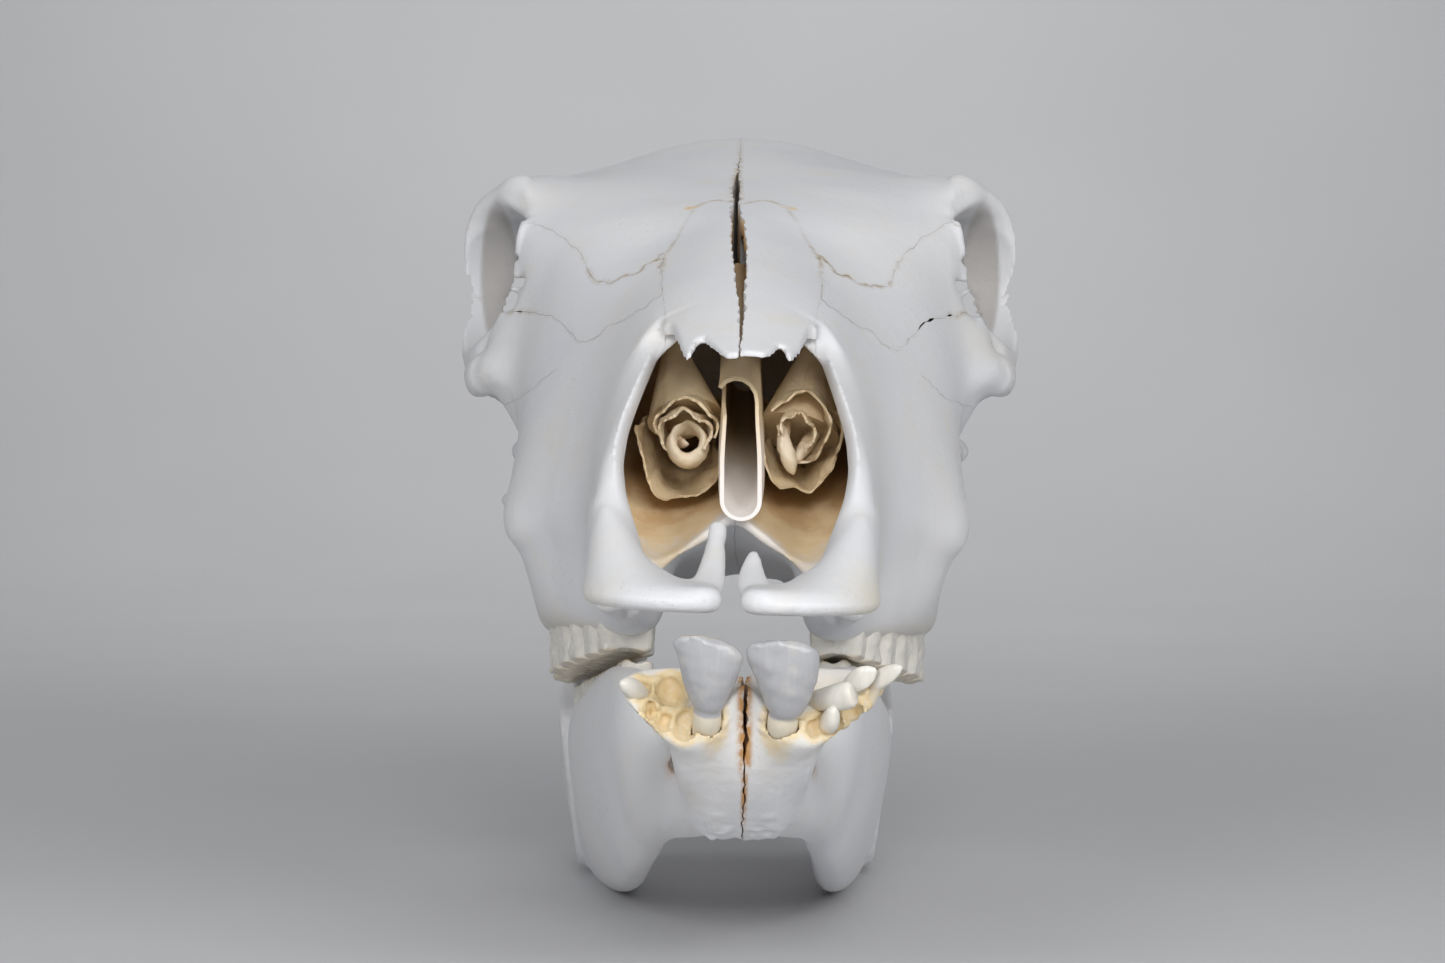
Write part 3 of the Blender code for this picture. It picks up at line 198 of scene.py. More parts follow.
# Rim of the orbit as a ring: (x, distance, z, half size across the ring, half size along its radius).
ORBIT_RIM = [(74.5, 263, 252, 4, 3.6), (79.2, 254, 243.4, 3, 2.6), (81, 251.5, 229, 2.6, 2.4),
             (82, 251.5, 215, 2.6, 2.6), (88, 254, 205.5, 4.4, 3.4), (94, 262, 199.5, 5, 4.4),
             (98.5, 276, 196, 5, 5), (99.5, 290, 200, 6, 4.6), (97.3, 300, 212, 8, 3.6),
             (95.6, 304.5, 226, 9.8, 3.4), (94.6, 304, 241, 11.4, 3.8), (91.5, 297, 253, 9.4, 4.8),
             (82, 280, 258.4, 6, 4.6)]
ORBIT_CENTRE = (92, 279, 226)

# Hollow of the orbit, from outside inwards: (x, distance, z, half height, half breadth).
ORBIT_HOLLOW = [(122, 275, 227, 27, 27), (104, 277, 227, 27, 27), (94, 279, 226, 27.5, 27),
                (82, 281, 224, 27.5, 26), (70, 284, 220, 25, 24), (58, 287, 215, 21, 20),
                (48, 290, 210, 15, 15), (40, 292, 206, 8, 8)]

# Bites out of the orbit's front rim, by side: (x, distance, z, radius along x, y and z).
RIM_BITES = {
    -1: [(80.4, 251, 224.2, 4.4, 15, 1.9), (87.6, 251, 217.6, 7.6, 16, 4.2), (84.6, 250, 233.4, 4.0, 10, 1.6),
         (84.4, 250, 239.6, 1.8, 9, 1.3), (80, 251, 249, 4, 9, 2.0)],
    1: [(80.0, 251, 223.4, 4.6, 15, 1.8), (87.0, 251, 216.6, 7.2, 16, 4.6), (84.2, 250, 232.6, 3.6, 10, 1.9),
        (83.8, 250, 239.8, 2.2, 9, 1.2), (79, 251, 249, 4, 9, 2.0)],
}

# Zygomatic arch from the facial crest to the jaw joint: (x, distance, z, half height, half width).
ARCH = [(70, 222, 190, 5, 5), (85, 241, 192, 8, 7.6), (94, 254, 190.5, 8, 7), (97.5, 270, 190, 8, 5.5),
        (99, 286, 190, 8, 4.6), (98, 304, 190, 8, 4), (95, 320, 188.5, 7.5, 4), (90, 336, 185, 8, 4.6),
        (80, 349, 177, 9, 7), (62, 356, 170, 11, 10)]

# The pterygoid plate beside the throat, seen from the side: (distance, z).
PTERYGOID = [(258, 122), (262, 110), (300, 112), (312, 106), (322, 122), (330, 150), (300, 170), (262, 165)]

# The canal that opens in the side of the muzzle: (x, distance, z, half height, half breadth).
INFRAORBITAL_CANAL = [(44.5, 106, 152, 4.6, 2.3), (47, 116, 153, 4.2, 2.2), (52, 134, 155, 3.4, 2),
                      (54, 150, 156, 2.6, 1.6)]

# Ridges on both sides of the head, as lines of (x, distance, z).
TEMPLE_RIDGE = [(92, 312, 258), (76, 335, 262), (62, 362, 264), (50, 388, 266)]
CHEEK_RIDGE = [(73, 229, 204), (84, 240, 197), (97, 254, 189)]
BROW_RIDGE = [(81, 284, 262), (76, 294, 264), (75, 304, 264)]
FACIAL_CREST = [(74, 170, 141), (80, 182, 142), (80, 194, 152), (80, 208, 167), (84, 226, 184),
                (91, 242, 192)]

# Upper cheek teeth: the row, (distance, outer x, inner x, gum z, chewing z), and where each tooth ends.
UPPER_ROW = [(120, 42, 27, 112, 99.5), (135, 47, 25.6, 112, 96.5), (160, 56, 29, 110, 92),
             (190, 63, 35, 109, 87), (225, 68, 40.5, 108, 81), (256, 67, 43, 108, 76.5)]
UPPER_ENDS = [121, 135.5, 152, 169.5, 193.5, 222, 255]

# How far out the foramina of the chin are, by side, and how high.
FORAMINA = {-1: 20.9, 1: 21.9}
FORAMINA_Z = 70.6

# Lower jaw body: (distance, top x, z and half breadth, bottom x, z and half breadth).
JAW_BODY = [(34, 10, 88, 8, 8, 56, 8), (46, 13, 83, 9, 9, 51, 10.5), (60, 16.5, 75, 8, 12.5, 47.5, 12),
            (80, 21.5, 71.5, 6.6, 17, 42.5, 11.5), (100, 27, 77, 7.5, 21.5, 38.5, 10),
            (112, 32, 89.5, 10.5, 24.5, 35, 9.5), (126, 35.5, 94, 12.5, 27, 32, 9),
            (152, 40, 90.5, 14, 31.5, 22, 9.4), (182, 45, 82.5, 14, 34.5, 12, 10),
            (214, 48.5, 76, 14, 37, 5.5, 11.4), (246, 49, 69, 11.8, 39, 0.5, 12.4),
            (278, 51.5, 72, 8.8, 44.5, -1, 10.6), (306, 54, 84, 7, 49.5, 1, 8.6),
            (330, 57, 80, 6.5, 54, 9, 7.6), (348, 60, 72, 6, 57, 26, 7)]

# Guide curves of the chin, from the middle outwards: (x, distance, z).
CHIN_GUIDES = {
    "labial edge": [(0, 13, 97), (4, 11, 93.5), (8, 8.6, 87), (16, 8, 83), (20, 8, 82.6), (23, 9, 83),
                    (28, 10.5, 86), (33, 13, 90), (37, 15, 93.2), (40, 18, 97)],
    "slope": [(0, 18, 99), (8, 16, 94), (16, 17, 93), (20, 17.5, 93.5), (23, 18, 94), (28, 19, 95.5),
              (33, 20.5, 97.5), (37, 21, 98.5), (40, 20, 99)],
    "lingual top": [(0, 24, 100), (8, 26, 101.5), (16, 27, 102.3), (20, 27.5, 102.6), (23, 28, 102.6),
                    (28, 28, 102.4), (33, 27.5, 102), (37, 25.5, 101), (40, 22, 99.5)],
    "lingual side": [(0, 40, 92), (8, 40, 93.5), (16, 39, 95), (20, 38, 96), (23, 36.5, 96.5), (28, 34, 97),
                     (33, 31.5, 98), (37, 28, 98.5), (40, 23, 98.5)],
    "lingual base": [(0, 62, 76), (8, 62, 76), (16, 56, 79), (20, 50, 83), (23, 44, 87), (28, 38, 91),
                     (33, 33, 94), (37, 29, 96), (40, 23.5, 97.5)],
    "back": [(0, 62, 56), (8, 60, 56), (16, 54, 62), (20, 46, 70), (23, 40, 80), (28, 35, 87), (33, 31, 91.5),
             (37, 27, 94.5), (40, 22.5, 96.8)],
    "chin": [(0, 50, 47.5), (8, 49, 47.5), (13, 46, 49), (16, 42, 54), (20, 36, 66), (23, 28, 78.5),
             (28, 24, 85), (33, 22, 89.5), (37, 21, 93), (40, 20, 96.6)],
    "chin low": [(0, 34, 57), (8, 33, 58), (16, 28, 63), (20, 24, 70), (23, 19, 79.5), (28, 17, 85),
                 (33, 17.5, 89.3), (37, 18, 92.8), (40, 19, 96.6)],
    "chin high": [(0, 18, 74), (8, 17, 74), (16, 15, 75), (20, 14, 77), (23, 13, 81), (28, 13, 85.3),
                  (33, 15, 89.5), (37, 16.5, 92.8), (40, 18.5, 96.8)],
}
# How wide each side's chin is beyond this x, as a share of the guides.
CHIN_SPREAD = {-1: 0.87, 1: 1.13}
CHIN_SPREAD_FROM = 20

# The jaw's ramus seen from the side, (distance, z), and the middle of its wall at the bottom and higher up.
RAMUS = [(262, 58), (276, 74), (287, 100), (294, 128), (299, 152), (304, 172), (312, 188), (323, 197),
         (332, 196), (332, 184), (326, 170), (326, 158), (331, 149), (340, 146), (352, 145), (356, 138),
         (352, 126), (348, 106), (350, 84), (354, 60), (352, 38), (344, 20), (328, 8), (306, 3), (280, 10)]
RAMUS_BOTTOM_X = 51.5
RAMUS_TOP_X = 68.0
RAMUS_TOP_Z = 150.0
RAMUS_THICKNESS = 8.0

# Lower cheek teeth, as the upper ones.
LOWER_ROW = [(126, 38, 26.5, 80, 96.2), (150, 42, 29, 76, 91.9), (185, 48.5, 34, 72, 85.8),
             (220, 54, 39, 66, 80), (260, 58, 44, 64, 74.2)]
LOWER_ENDS = [127, 138, 154, 172.5, 196, 224, 259]

# Crowns of the first lower incisors, from neck to edge: (x, distance, z, half breadth, half thickness).
CROWNS = {
    -1: [(-10.8, 8.4, 90.2, 2, 2.2), (-10.8, 7.4, 92.1, 4, 3.4), (-10.95, 6.2, 95, 5.7, 4.0),
         (-10.8, 5, 98, 7, 4.2), (-10.7, 3.8, 100.9, 8, 4.0), (-10.4, 2.2, 105.3, 9.2, 3.3),
         (-10.5, 1.3, 108.3, 9.7, 2.6), (-12.2, 0.6, 111.2, 9.1, 1.9), (-13.8, 0.3, 112.7, 7.8, 1.5),
         (-14.8, 0.1, 113.9, 5.4, 1.1), (-15.4, 0, 114.6, 3, 0.8)],
    1: [(12, 9.2, 88.2, 2, 2.2), (12.2, 8.2, 90, 4, 3.4), (12.3, 7, 92.6, 5.9, 4),
        (12.4, 5.8, 95.4, 7.2, 4.3), (12.2, 4.8, 98, 8.1, 4.3), (12.2, 3.7, 101, 9.1, 4),
        (11.7, 2.6, 104, 10, 3.5), (11.2, 1.6, 106.8, 10.7, 2.8), (10.8, 0.9, 109.4, 10.7, 2.2),
        (10, 0.4, 111.2, 9.6, 1.7), (9.9, 0.1, 112.4, 7.2, 1.2), (10.2, 0, 113.1, 4.2, 0.8)],
}
# Their roots: (x, distance, z, half breadth, half thickness).
ROOTS = {
    -1: [(-11.2, 6.4, 97, 3.2, 2.6), (-11.3, 8.6, 92, 4.1, 3.4), (-11.4, 11.4, 87.4, 4.3, 3.9),
         (-11.5, 19, 81, 4, 3.8), (-11.5, 28, 74, 3, 3)],
    1: [(11.8, 7.4, 96, 3.2, 2.6), (11.4, 9.4, 91, 4.3, 3.5), (11.2, 12, 86.6, 4.6, 4.1),
        (11.4, 19.6, 80, 4, 3.8), (11.5, 29, 73, 3, 3)],
}
# How much wider the hollow round a root is.
ROOT_PLAY = 0.4
# Hollows of the lost teeth's sockets by side: (x, distance, z), radii.
SOCKETS = {
    -1: [((-22.4, 18.5, 98), (5.0, 8, 6.6)), ((-18.2, 9.5, 88), (4.4, 7, 5.6)), ((-24.2, 12, 88.6),
                                                                                 (2.8, 6, 3.8)),
         ((-28.2, 14, 91), (1.9, 6, 3.4)), ((-30.6, 19, 97.6), (3.4, 6, 3.6))],
    1: [((25.4, 10.6, 88.2), (4.6, 6.4, 4.8)), ((32.4, 13, 90.6), (3.6, 6, 3.6)), ((39.4, 16, 94.8),
                                                                                   (3.4, 5, 2.8)),
        ((20.6, 11, 86.6), (2.4, 5, 3.4))],
}
# Small front teeth by side, from root to tip: (x, distance, z, half height, half breadth).
SMALL_TEETH = {
    -1: [[(-26, 28, 92, 1.5, 1.5), (-29.8, 22.5, 94.6, 2.1, 1.9), (-32, 19.5, 96.2, 2.9, 2.3),
          (-34, 16.4, 97.6, 3.1, 2.2), (-36, 13.8, 98.8, 2.2, 1.7), (-37.2, 12.3, 99.5, 0.7, 0.6)]],
    1: [[(27, 25, 94, 1.6, 1.4), (30, 20, 97.2, 1.8, 1.5), (32, 17.8, 98.6, 2.9, 1.6),
         (35, 16, 100.6, 3.4, 1.3), (37.6, 15.6, 102.2, 2.5, 1), (39.4, 15.6, 103.2, 0.7, 0.4)],
        [(37.6, 22, 93, 2.2, 2), (39.4, 20, 97.6, 2.2, 1.8), (41, 18, 100.2, 2.8, 1.5),
         (43.4, 16, 102, 2.6, 1.2), (45.6, 14.6, 103.4, 1.7, 0.9), (47, 14, 104.2, 0.4, 0.3)],
        [(17, 24, 92.4, 2.6, 2.2), (22, 17, 93.8, 3.2, 2.8), (26.4, 12, 95, 4, 3.2), (29.8, 9, 96, 4.2, 3),
         (31.4, 7.6, 96.5, 3.9, 2.6), (32.2, 7, 96.8, 3, 1.8)],
        [(24, 20, 84, 2, 2), (25, 14, 86.8, 3.2, 2.8), (25.7, 11, 89, 3.6, 2.6), (26.1, 9, 91.4, 2.3, 1.9),
         (26.3, 8.3, 92.8, 0.7, 0.6)]],
}

# Vomer, a trough: (distance, half breadth, bottom z, left wall's top z).
VOMER = [(VOMER_FRONT, 6.4, 144.5, 182), (98, 7, 147.5, 186), (120, 7, 155, 192), (150, 6.5, 166, 198),
         (196, 5.5, 184, 206)]

# Rolled sheets of each concha: centre (x, z), turns in degrees, radii, front and back, unevenness, random
# seed, squeeze in x and taper.
SCROLLS = {
    -1: [((-17.5, 170), (172, 335), (21.5, 20), (113, 178), 0.07, 31, 0.68, 0.5),
         ((-17.5, 173), (-15, 250), (11, 8), (109, 170), 0.08, 41, 1.05, 0.35),
         ((-17, 170.5), (200, -30), (8.6, 8), (107, 150), 0.1, 53, 1.0, 0.3)],
    1: [((20, 172), (25, -160), (18.5, 17), (112, 178), 0.09, 35, 0.74, 0.5),
        ((20.5, 173), (150, -190), (13, 9), (110, 170), 0.10, 45, 0.82, 0.3),
        ((20, 172), (215, -60), (8.4, 6), (107, 160), 0.14, 55, 0.75, 0.3)],
}
# The left concha's middle roll, a ring: (x, distance, z, half size along the nose, half thickness).
CURL = [(-21.4, 112, 168, 4, 1.7), (-19.6, 110, 164, 3.4, 2.2), (-16, 109, 162.6, 3.4, 2.5),
        (-12.2, 110, 164.4, 4, 2.2), (-10.8, 112, 168.6, 4, 1.5), (-12.8, 114, 172.2, 4, 1),
        (-16.4, 116, 173.2, 4, 0.8), (-20, 114, 171.6, 4, 1.2)]
CURL_CENTRE = (-16, 112, 168.4)
# Lobes between the sheets: (x, distance, z, half size along the direction that follows, other half size).
LOBES = {
    -1: [([(-20.6, 124, 172, 1.4, 1.4), (-19.4, 117, 169, 1.7, 1.4), (-17.6, 113, 168, 1.6, 1.2),
           (-16.2, 111.4, 168, 0.4, 0.4)], (0, 0, 1))],
    1: [([(16, 122, 176, 1.6, 2), (15, 114, 171.4, 2.2, 2.4), (16, 110, 167, 2.6, 2.8),
          (17.4, 108.6, 163, 2.4, 2.4), (18.4, 108.4, 160.4, 1.4, 1.4), (18.8, 108.6, 159.2, 0.4, 0.4)],
          (1, 0, 0)),
        ([(25, 124, 172, 2.4, 2), (22.6, 115, 168.4, 2.4, 2.2), (20.4, 111, 165, 1.8, 1.6),
          (19.6, 110, 163.6, 0.5, 0.5)], (1, 0, 0))],
}
# Cones that the sheets close on behind: start, end and radii.
CONCHA_CONES = {-1: ((-17.5, 124, 176), (-22.5, 140, 201), 12.5, 3), 1: ((20, 126, 172),
                                                                         (26, 142, 200), 14, 5)}

# Sutures, as regions that each bone is cut out by. Nasal in plan: (x, distance).
NASAL_REGION = [(0, 40), (24.8, 40), (24.8, 107), (24.5, 112), (25.5, 125), (27, 150), (27.3, 182),
                (21.5, 205), (15.6, 227), (9.5, 232), (5, 230), (0, 223)]
NASAL_DEPTH = 17.0
# Incisive from the side: (distance, z).
INCISIVE_REGION = [(-20, 90), (58, 90), (62, 112), (68, 124), (82, 148), (98, 172), (111, 194), (121, 212),
                   (112, 222), (-20, 200)]
# Lacrimal and zygomatic from the front: (x, z).
LACRIMAL_REGION = [(27, 215.3), (28.8, 215), (32.7, 213), (36.3, 210), (42, 207.5), (46.5, 205.8),
                   (47.7, 203), (55, 199.5), (60, 206), (65.5, 210.6), (77, 213), (96, 214), (96, 240),
                   (76, 247), (73.5, 245), (67.4, 241.7), (61, 237), (57, 233), (53.5, 226), (51, 221.6),
                   (42.3, 223), (35, 226), (29.8, 230), (27, 234)]
ZYGOMATIC_REGION = [(55, 199), (65, 190), (76, 182.5), (86, 179), (92, 168), (120, 168), (120, 220),
                    (92, 220), (90, 214.2), (77, 213.2), (65.5, 210.8), (60, 206.2)]
# Frontal, palatine and maxilla from the side: (distance, z).
FRONTAL_REGION = [(150, 330), (150, 222), (215, 217), (240, 212), (290, 211), (312, 215), (340, 238),
                  (368, 249), (440, 262), (440, 330)]
PALATINE_REGION = [(228, 60), (228, 132), (262, 134), (300, 150), (345, 160), (345, 60)]
PALATINE_HALF_WIDTH = 27.0
# Regions that cross the whole head reach this far to each side.
REGION_HALF_WIDTH = 125.0
MAXILLA_REGION = [(20, 60), (20, 320), (262, 320), (262, 60)]

# The braincase is thinned to this many triangles.
BRAINCASE_TRIANGLES = 190000

# Where the seams are stained, on both sides: (x, distance, z), radii.
STAINED_SEAMS = [((40, 205, 226), (14, 30, 9)), ((10, 228, 253), (8, 20, 8)), ((0, 290, 262), (5, 60, 20)),
                 ((72, 250, 213), (14, 20, 8)), ((26, 200, 226), (8, 30, 12)), ((98, 290, 213), (16, 25, 6))]

# Warm patches of the head: (x, distance, z), radii and strength.
WARM_PATCHES = [((42, 28, 124), (9, 22, 10), 0.7), ((88, 245, 200), (12, 20, 10), 0.3),
                ((-42, 20, 122), (8, 14, 6), 0.4), ((60, 200, 160), (20, 40, 20), 0.35)]

# Lights: (name, place, target, size, power).
MIDDLE = (0, 0, 0.15)
LIGHTS = [("front", (0.1, -1.6, 0.85), MIDDLE, 0.5, 7), ("upper", (0.25, -1.45, 1.3), MIDDLE, 0.8, 3),
          ("right", (0.85, -1.25, 0.75), MIDDLE, 0.8, 9.5), ("left", (-0.85, -1.25, 0.75), MIDDLE, 0.8, 8),
          ("wall", (0, 1.3, 1.8), (0, 2.4, 0.6), 1.2, 16)]


def length(name, description, default):
    """A length that the user can change."""
    return bpy.props.FloatProperty(name=name, description=description, default=default, unit="LENGTH")


def colour(name, description, *default):
    """A colour that the user can change."""
    return bpy.props.FloatVectorProperty(name=name, description=description, default=default, subtype="COLOR")


class SkullBones(bpy.types.PropertyGroup):
    """Sizes of the bones' surface."""
    pitch: length("Pitch", "Grain of the fused bone surface", 1.05 * MM)
    jaw_pitch: length("Jaw pitch", "Grain of the lower jaw's surface", 0.92 * MM)
    block_pitch: length("Block pitch", "Grain of the first, blocked-out head", 1.5 * MM)
    suture_gap: length("Suture gap", "Width of the thin gap between two bones", 0.07 * MM)
    suture_teeth: length("Suture teeth", "How far a suture's teeth reach to each side", 0.9 * MM)
    unevenness: length("Unevenness", "Height of the bone's soft swells", 0.25 * MM)


class SkullFinish(bpy.types.PropertyGroup):
    """Colours of the bones and teeth."""
    bone: colour("Bleached bone", "Most of the surface", 0.775, 0.775, 0.785)
    cool: colour("Cool bone", "Bluish patches", 0.66, 0.69, 0.76)
    ivory: colour("Ivory", "Warm patches", 0.78, 0.71, 0.55)
    # The suture colour stains the seams, and is also painted shade on the side walls of the gap between the
    # nasal bones.
    suture: colour("Suture", "Stain along the sutures", 0.46, 0.33, 0.17)
    pore: colour("Pore", "Fine pits in the bone", 0.45, 0.38, 0.30)
    nose: colour("Nose", "Tan bone inside the nose", 0.78, 0.61, 0.38)
    nose_deep: colour("Deep nose", "Brown bone far inside the nose", 0.62, 0.42, 0.22)
    scroll: colour("Scroll", "Mottling of the scrolls", 0.70, 0.56, 0.36)
    scroll_pale: colour("Scroll front", "Pale front of the vomer and scrolls", 0.86, 0.81, 0.77)
    scroll_stain: colour("Scroll stain", "Dark stain on the vomer and scrolls", 0.34, 0.20, 0.10)
    socket: colour("Socket", "Yellow bone in the tooth sockets", 0.78, 0.62, 0.36)
    rust: colour("Rust", "Orange stain in the gap of the chin", 0.52, 0.27, 0.09)
    # Painted shade: this dull grey is laid on the inner face of the bar behind each orbit, where the brow
    # keeps the light off.
    hollow: colour("Orbit", "Dull bone inside the orbits", 0.40, 0.37, 0.34)
    enamel: colour("Enamel", "Tooth enamel", 0.44, 0.44, 0.455)
    cheek_enamel: colour("Cheek enamel", "Enamel of the cheek teeth", 0.78, 0.75, 0.68)
    dentine: colour("Dentine", "Tooth root and neck", 0.74, 0.67, 0.53)
    tooth_cream: colour("Tooth patches", "Cream patches of the enamel", 0.66, 0.62, 0.53)
    tooth_streak: colour("Tooth streaks", "Upright streaks of the enamel", 0.56, 0.57, 0.60)
    worn: colour("Worn tooth", "Worn faces and edges", 0.70, 0.61, 0.46)


class SkullStage(bpy.types.PropertyGroup):
    """Camera, light and floor."""
    focal: bpy.props.FloatProperty(
        name="Lens", description="Focal length of the camera in millimetres", default=84.7)
    eye_height: length("Eye height", "Height of the camera above the floor", 0.195)
    distance: length("Distance", "From the camera to the muzzle", 1.0)
    yaw: bpy.props.FloatProperty(
        name="Turn", description="How far the camera looks to the left", default=math.radians(0.295),
        subtype="ANGLE")
    pitch: bpy.props.FloatProperty(
        name="Pitch", description="How far the camera looks down", default=math.radians(2.0), subtype="ANGLE")
    floor: colour("Floor", "Colour of the floor and wall", 0.62, 0.62, 0.63)
    sky: colour("Sky", "Colour of the faint light from all round", 0.9, 0.94, 1.0)


# ------------------------------------------------------------ curves


def along(table, at):
    """The row of a table at a place along its first column, on a smooth curve through the rows."""
    rows = np.array(table, float)
    knots, values = rows[:, 0], rows[:, 1:]
    slopes = np.gradient(values, knots, axis=0)
    i = int(np.clip(np.searchsorted(knots, at) - 1, 0, len(knots) - 2))
    span = knots[i + 1] - knots[i]
    t = np.clip((at - knots[i]) / span, 0, 1)
    rise, fall = t * t * (3 - 2 * t), t * (t - 1)
    ends = values[i] * (1 - rise) + values[i + 1] * rise
    return ends + span * fall * ((t - 1) * slopes[i] + t * slopes[i + 1])


def smooth_path(points, steps, closed=False):
    """Points on a Catmull-Rom curve through the given ones, with some steps between each pair."""
    given = np.array(points, float)
    count = len(given)
    spans = count if closed else count - 1
    ends = (lambda i: given[i % count]) if closed else (lambda i: given[min(max(i, 0), count - 1)])
    path = []
    for i in range(spans):
        before, here, there, after = ends(i - 1), ends(i), ends(i + 1), ends(i + 2)
        for t in np.arange(steps) / steps:
            bend = 2 * before - 5 * here + 4 * there - after
            twist = 3 * (here - there) + after - before
            path.append(here + 0.5 * t * (there - before + t * (bend + t * twist)))
    if not closed:
        path.append(given[-1])
    return np.array(path)


def place(point):
    """A point of the tables in the frame's metres."""
    return Vector((point[0] * MM + OFFSET[0], point[1] * MM + OFFSET[1], point[2] * MM))


def raw_corners(thing):
    """A mesh's corners as they are stored."""
    corners = np.empty(len(thing.data.vertices) * 3, np.float32)
    thing.data.vertices.foreach_get("co", corners)
    return corners.reshape(-1, 3)


def in_tables(corners):
    """Stored corners in the tables' millimetres."""
    return (corners.astype(float) - (*OFFSET, 0)) / MM


def table_points(thing):
    """A mesh's corners in the tables' millimetres."""
    return in_tables(raw_corners(thing))


def set_table_points(thing, points):
    """Puts a mesh's corners at points in the tables' millimetres."""
    world = points * MM + (*OFFSET, 0)
    thing.data.vertices.foreach_set("co", world.astype(np.float32).ravel())
    thing.data.update()


def ripple(points, wavelength, seed, waves=16):
    """A soft random field of about one wavelength, from -1 to 1, at points of any dimension."""
    draw = np.random.default_rng(seed)
    heading = draw.normal(size=(waves, points.shape[1]))
    heading /= np.linalg.norm(heading, axis=1)[:, None]
    pace = 2 * math.pi / (wavelength * draw.uniform(0.7, 1.5, waves))
    phase = draw.uniform(0, 2 * math.pi, waves)
    total = np.zeros(len(points))
    for way, speed, start in zip(heading, pace, phase):
        total += np.sin(points @ (way * speed) + start)
    return total / math.sqrt(waves / 2) / 2


def fade(value, start, end):
    """0 before start, 1 after end, smooth between."""
    t = np.clip((value - start) / (end - start), 0, 1)
    return t * t * (3 - 2 * t)


def between(value, rise, fall):
    """0 before the rise and after the fall, 1 between them, smooth along each."""
    return fade(value, *rise) * (1 - fade(value, *fall))


# ------------------------------------------------------------ solids


def new_object(name, maker, outwards=True):
    """An object in the scene with a bmesh's shape."""
    if outwards:
        bmesh.ops.recalc_face_normals(maker, faces=maker.faces)
    mesh = bpy.data.meshes.new(name)
    maker.to_mesh(mesh)
    maker.free()
    thing = bpy.data.objects.new(name, mesh)
    bpy.context.scene.collection.objects.link(thing)
    return thing


def drop(thing):
    """Removes a helper and its mesh."""
    mesh = thing.data
    bpy.data.objects.remove(thing)
    bpy.data.meshes.remove(mesh)


def wrapped(name, rings, ring_closed=False):
    """A closed skin through rings of points: a grid laid along them, joined at its seam, its ends filled."""
    across = len(rings[0])
    laid = [list(ring) + [ring[0]] for ring in rings]
    if ring_closed:
        laid.append(laid[0])
    maker = bmesh.new()
    bmesh.ops.create_grid(maker, x_segments=across, y_segments=len(laid) - 1, size=1)
    maker.verts.ensure_lookup_table()
    for row, ring in enumerate(laid):
        for column, point in enumerate(ring):
            maker.verts[row * (across + 1) + column].co = place(point)
    bmesh.ops.remove_doubles(maker, verts=maker.verts, dist=1e-7)
    if not ring_closed:
        bmesh.ops.holes_fill(maker, edges=[edge for edge in maker.edges if edge.is_boundary])
    return new_object(name, maker)


def guided_block(name, guides):
    """A skin whose half sections run through the guides, from the midline round to the midline."""
    first, *_, last = next(iter(guides.values()))
    rings = []
    for at in np.linspace(first[0], last[0], 80):
        half = [along(guide, at) for guide in guides.values()]
        outline = half + [np.array((-x, z)) for x, z in half[-2:0:-1]]
        rings.append([(x, at, z) for x, z in smooth_path(outline, 6, closed=True)])
    return wrapped(name, rings)


def oval(row, up, across, sides):
    """Points round an ellipse at a row's place. The row ends with its half sizes along the two directions."""
    middle, high, wide = Vector(row[:3]), row[3], row[4]
    return [middle + up * (high * math.cos(turn)) + across * (wide * math.sin(turn))
            for turn in np.linspace(0, 2 * math.pi, sides, endpoint=False)]


def swept(name, path, reference, steps=6, sides=24):
    """A tube of elliptical section along (x, distance, z, half size along the reference, other half size)."""
    rows = smooth_path(path, steps)
    rings = []
    for i, row in enumerate(rows):
        tangent = Vector(rows[min(i + 1, len(rows) - 1)][:3] - rows[max(i - 1, 0)][:3]).normalized()
        across = tangent.cross(Vector(reference)).normalized()
        up = across.cross(tangent).normalized()
        rings.append(oval(row, up, across, sides))
    return wrapped(name, rings)


def ring_swept(name, path, centre, steps=6, sides=20):
    """A closed rim round a centre: its first half size lies across the ring, its second along the radius."""
    rows = smooth_path(path, steps, closed=True)
    count = len(rows)
    rings = []
    for i, row in enumerate(rows):
        tangent = Vector(rows[(i + 1) % count][:3] - rows[i - 1][:3]).normalized()
        radial = Vector(row[:3]) - Vector(centre)
        radial = (radial - tangent * radial.dot(tangent)).normalized()
        across = tangent.cross(radial).normalized()
        rings.append(oval(row, across, radial, sides))
    return wrapped(name, rings, ring_closed=True)


def ellipsoid(name, centre, radii, tilt=(0, 0, 0)):
    """A ball stretched to three radii, turned by degrees about X, Y and Z."""
    maker = bmesh.new()
    bmesh.ops.create_uvsphere(maker, u_segments=32, v_segments=20, radius=MM)
    turned = Matrix.Rotation(math.radians(tilt[2]), 4, "Z") @ Matrix.Rotation(math.radians(tilt[1]), 4, "Y")
    turned = turned @ Matrix.Rotation(math.radians(tilt[0]), 4, "X")
    where = Matrix.Translation(place(centre)) @ turned @ Matrix.Diagonal((*radii, 1))
    bmesh.ops.transform(maker, matrix=where, verts=maker.verts)
    return new_object(name, maker)


def cone(name, start, end, *radii):
    """A round bar between two points, tapered from one radius to the other."""
    low, high = place(start), place(end)
    maker = bmesh.new()
    bmesh.ops.create_cone(maker, cap_ends=True, segments=36, radius1=radii[0] * MM, radius2=radii[1] * MM,
                          depth=(high - low).length)
    turned = (high - low).to_track_quat("Z", "Y").to_matrix().to_4x4()
    bmesh.ops.transform(maker, matrix=Matrix.Translation((low + high) / 2) @ turned, verts=maker.verts)
    return new_object(name, maker)


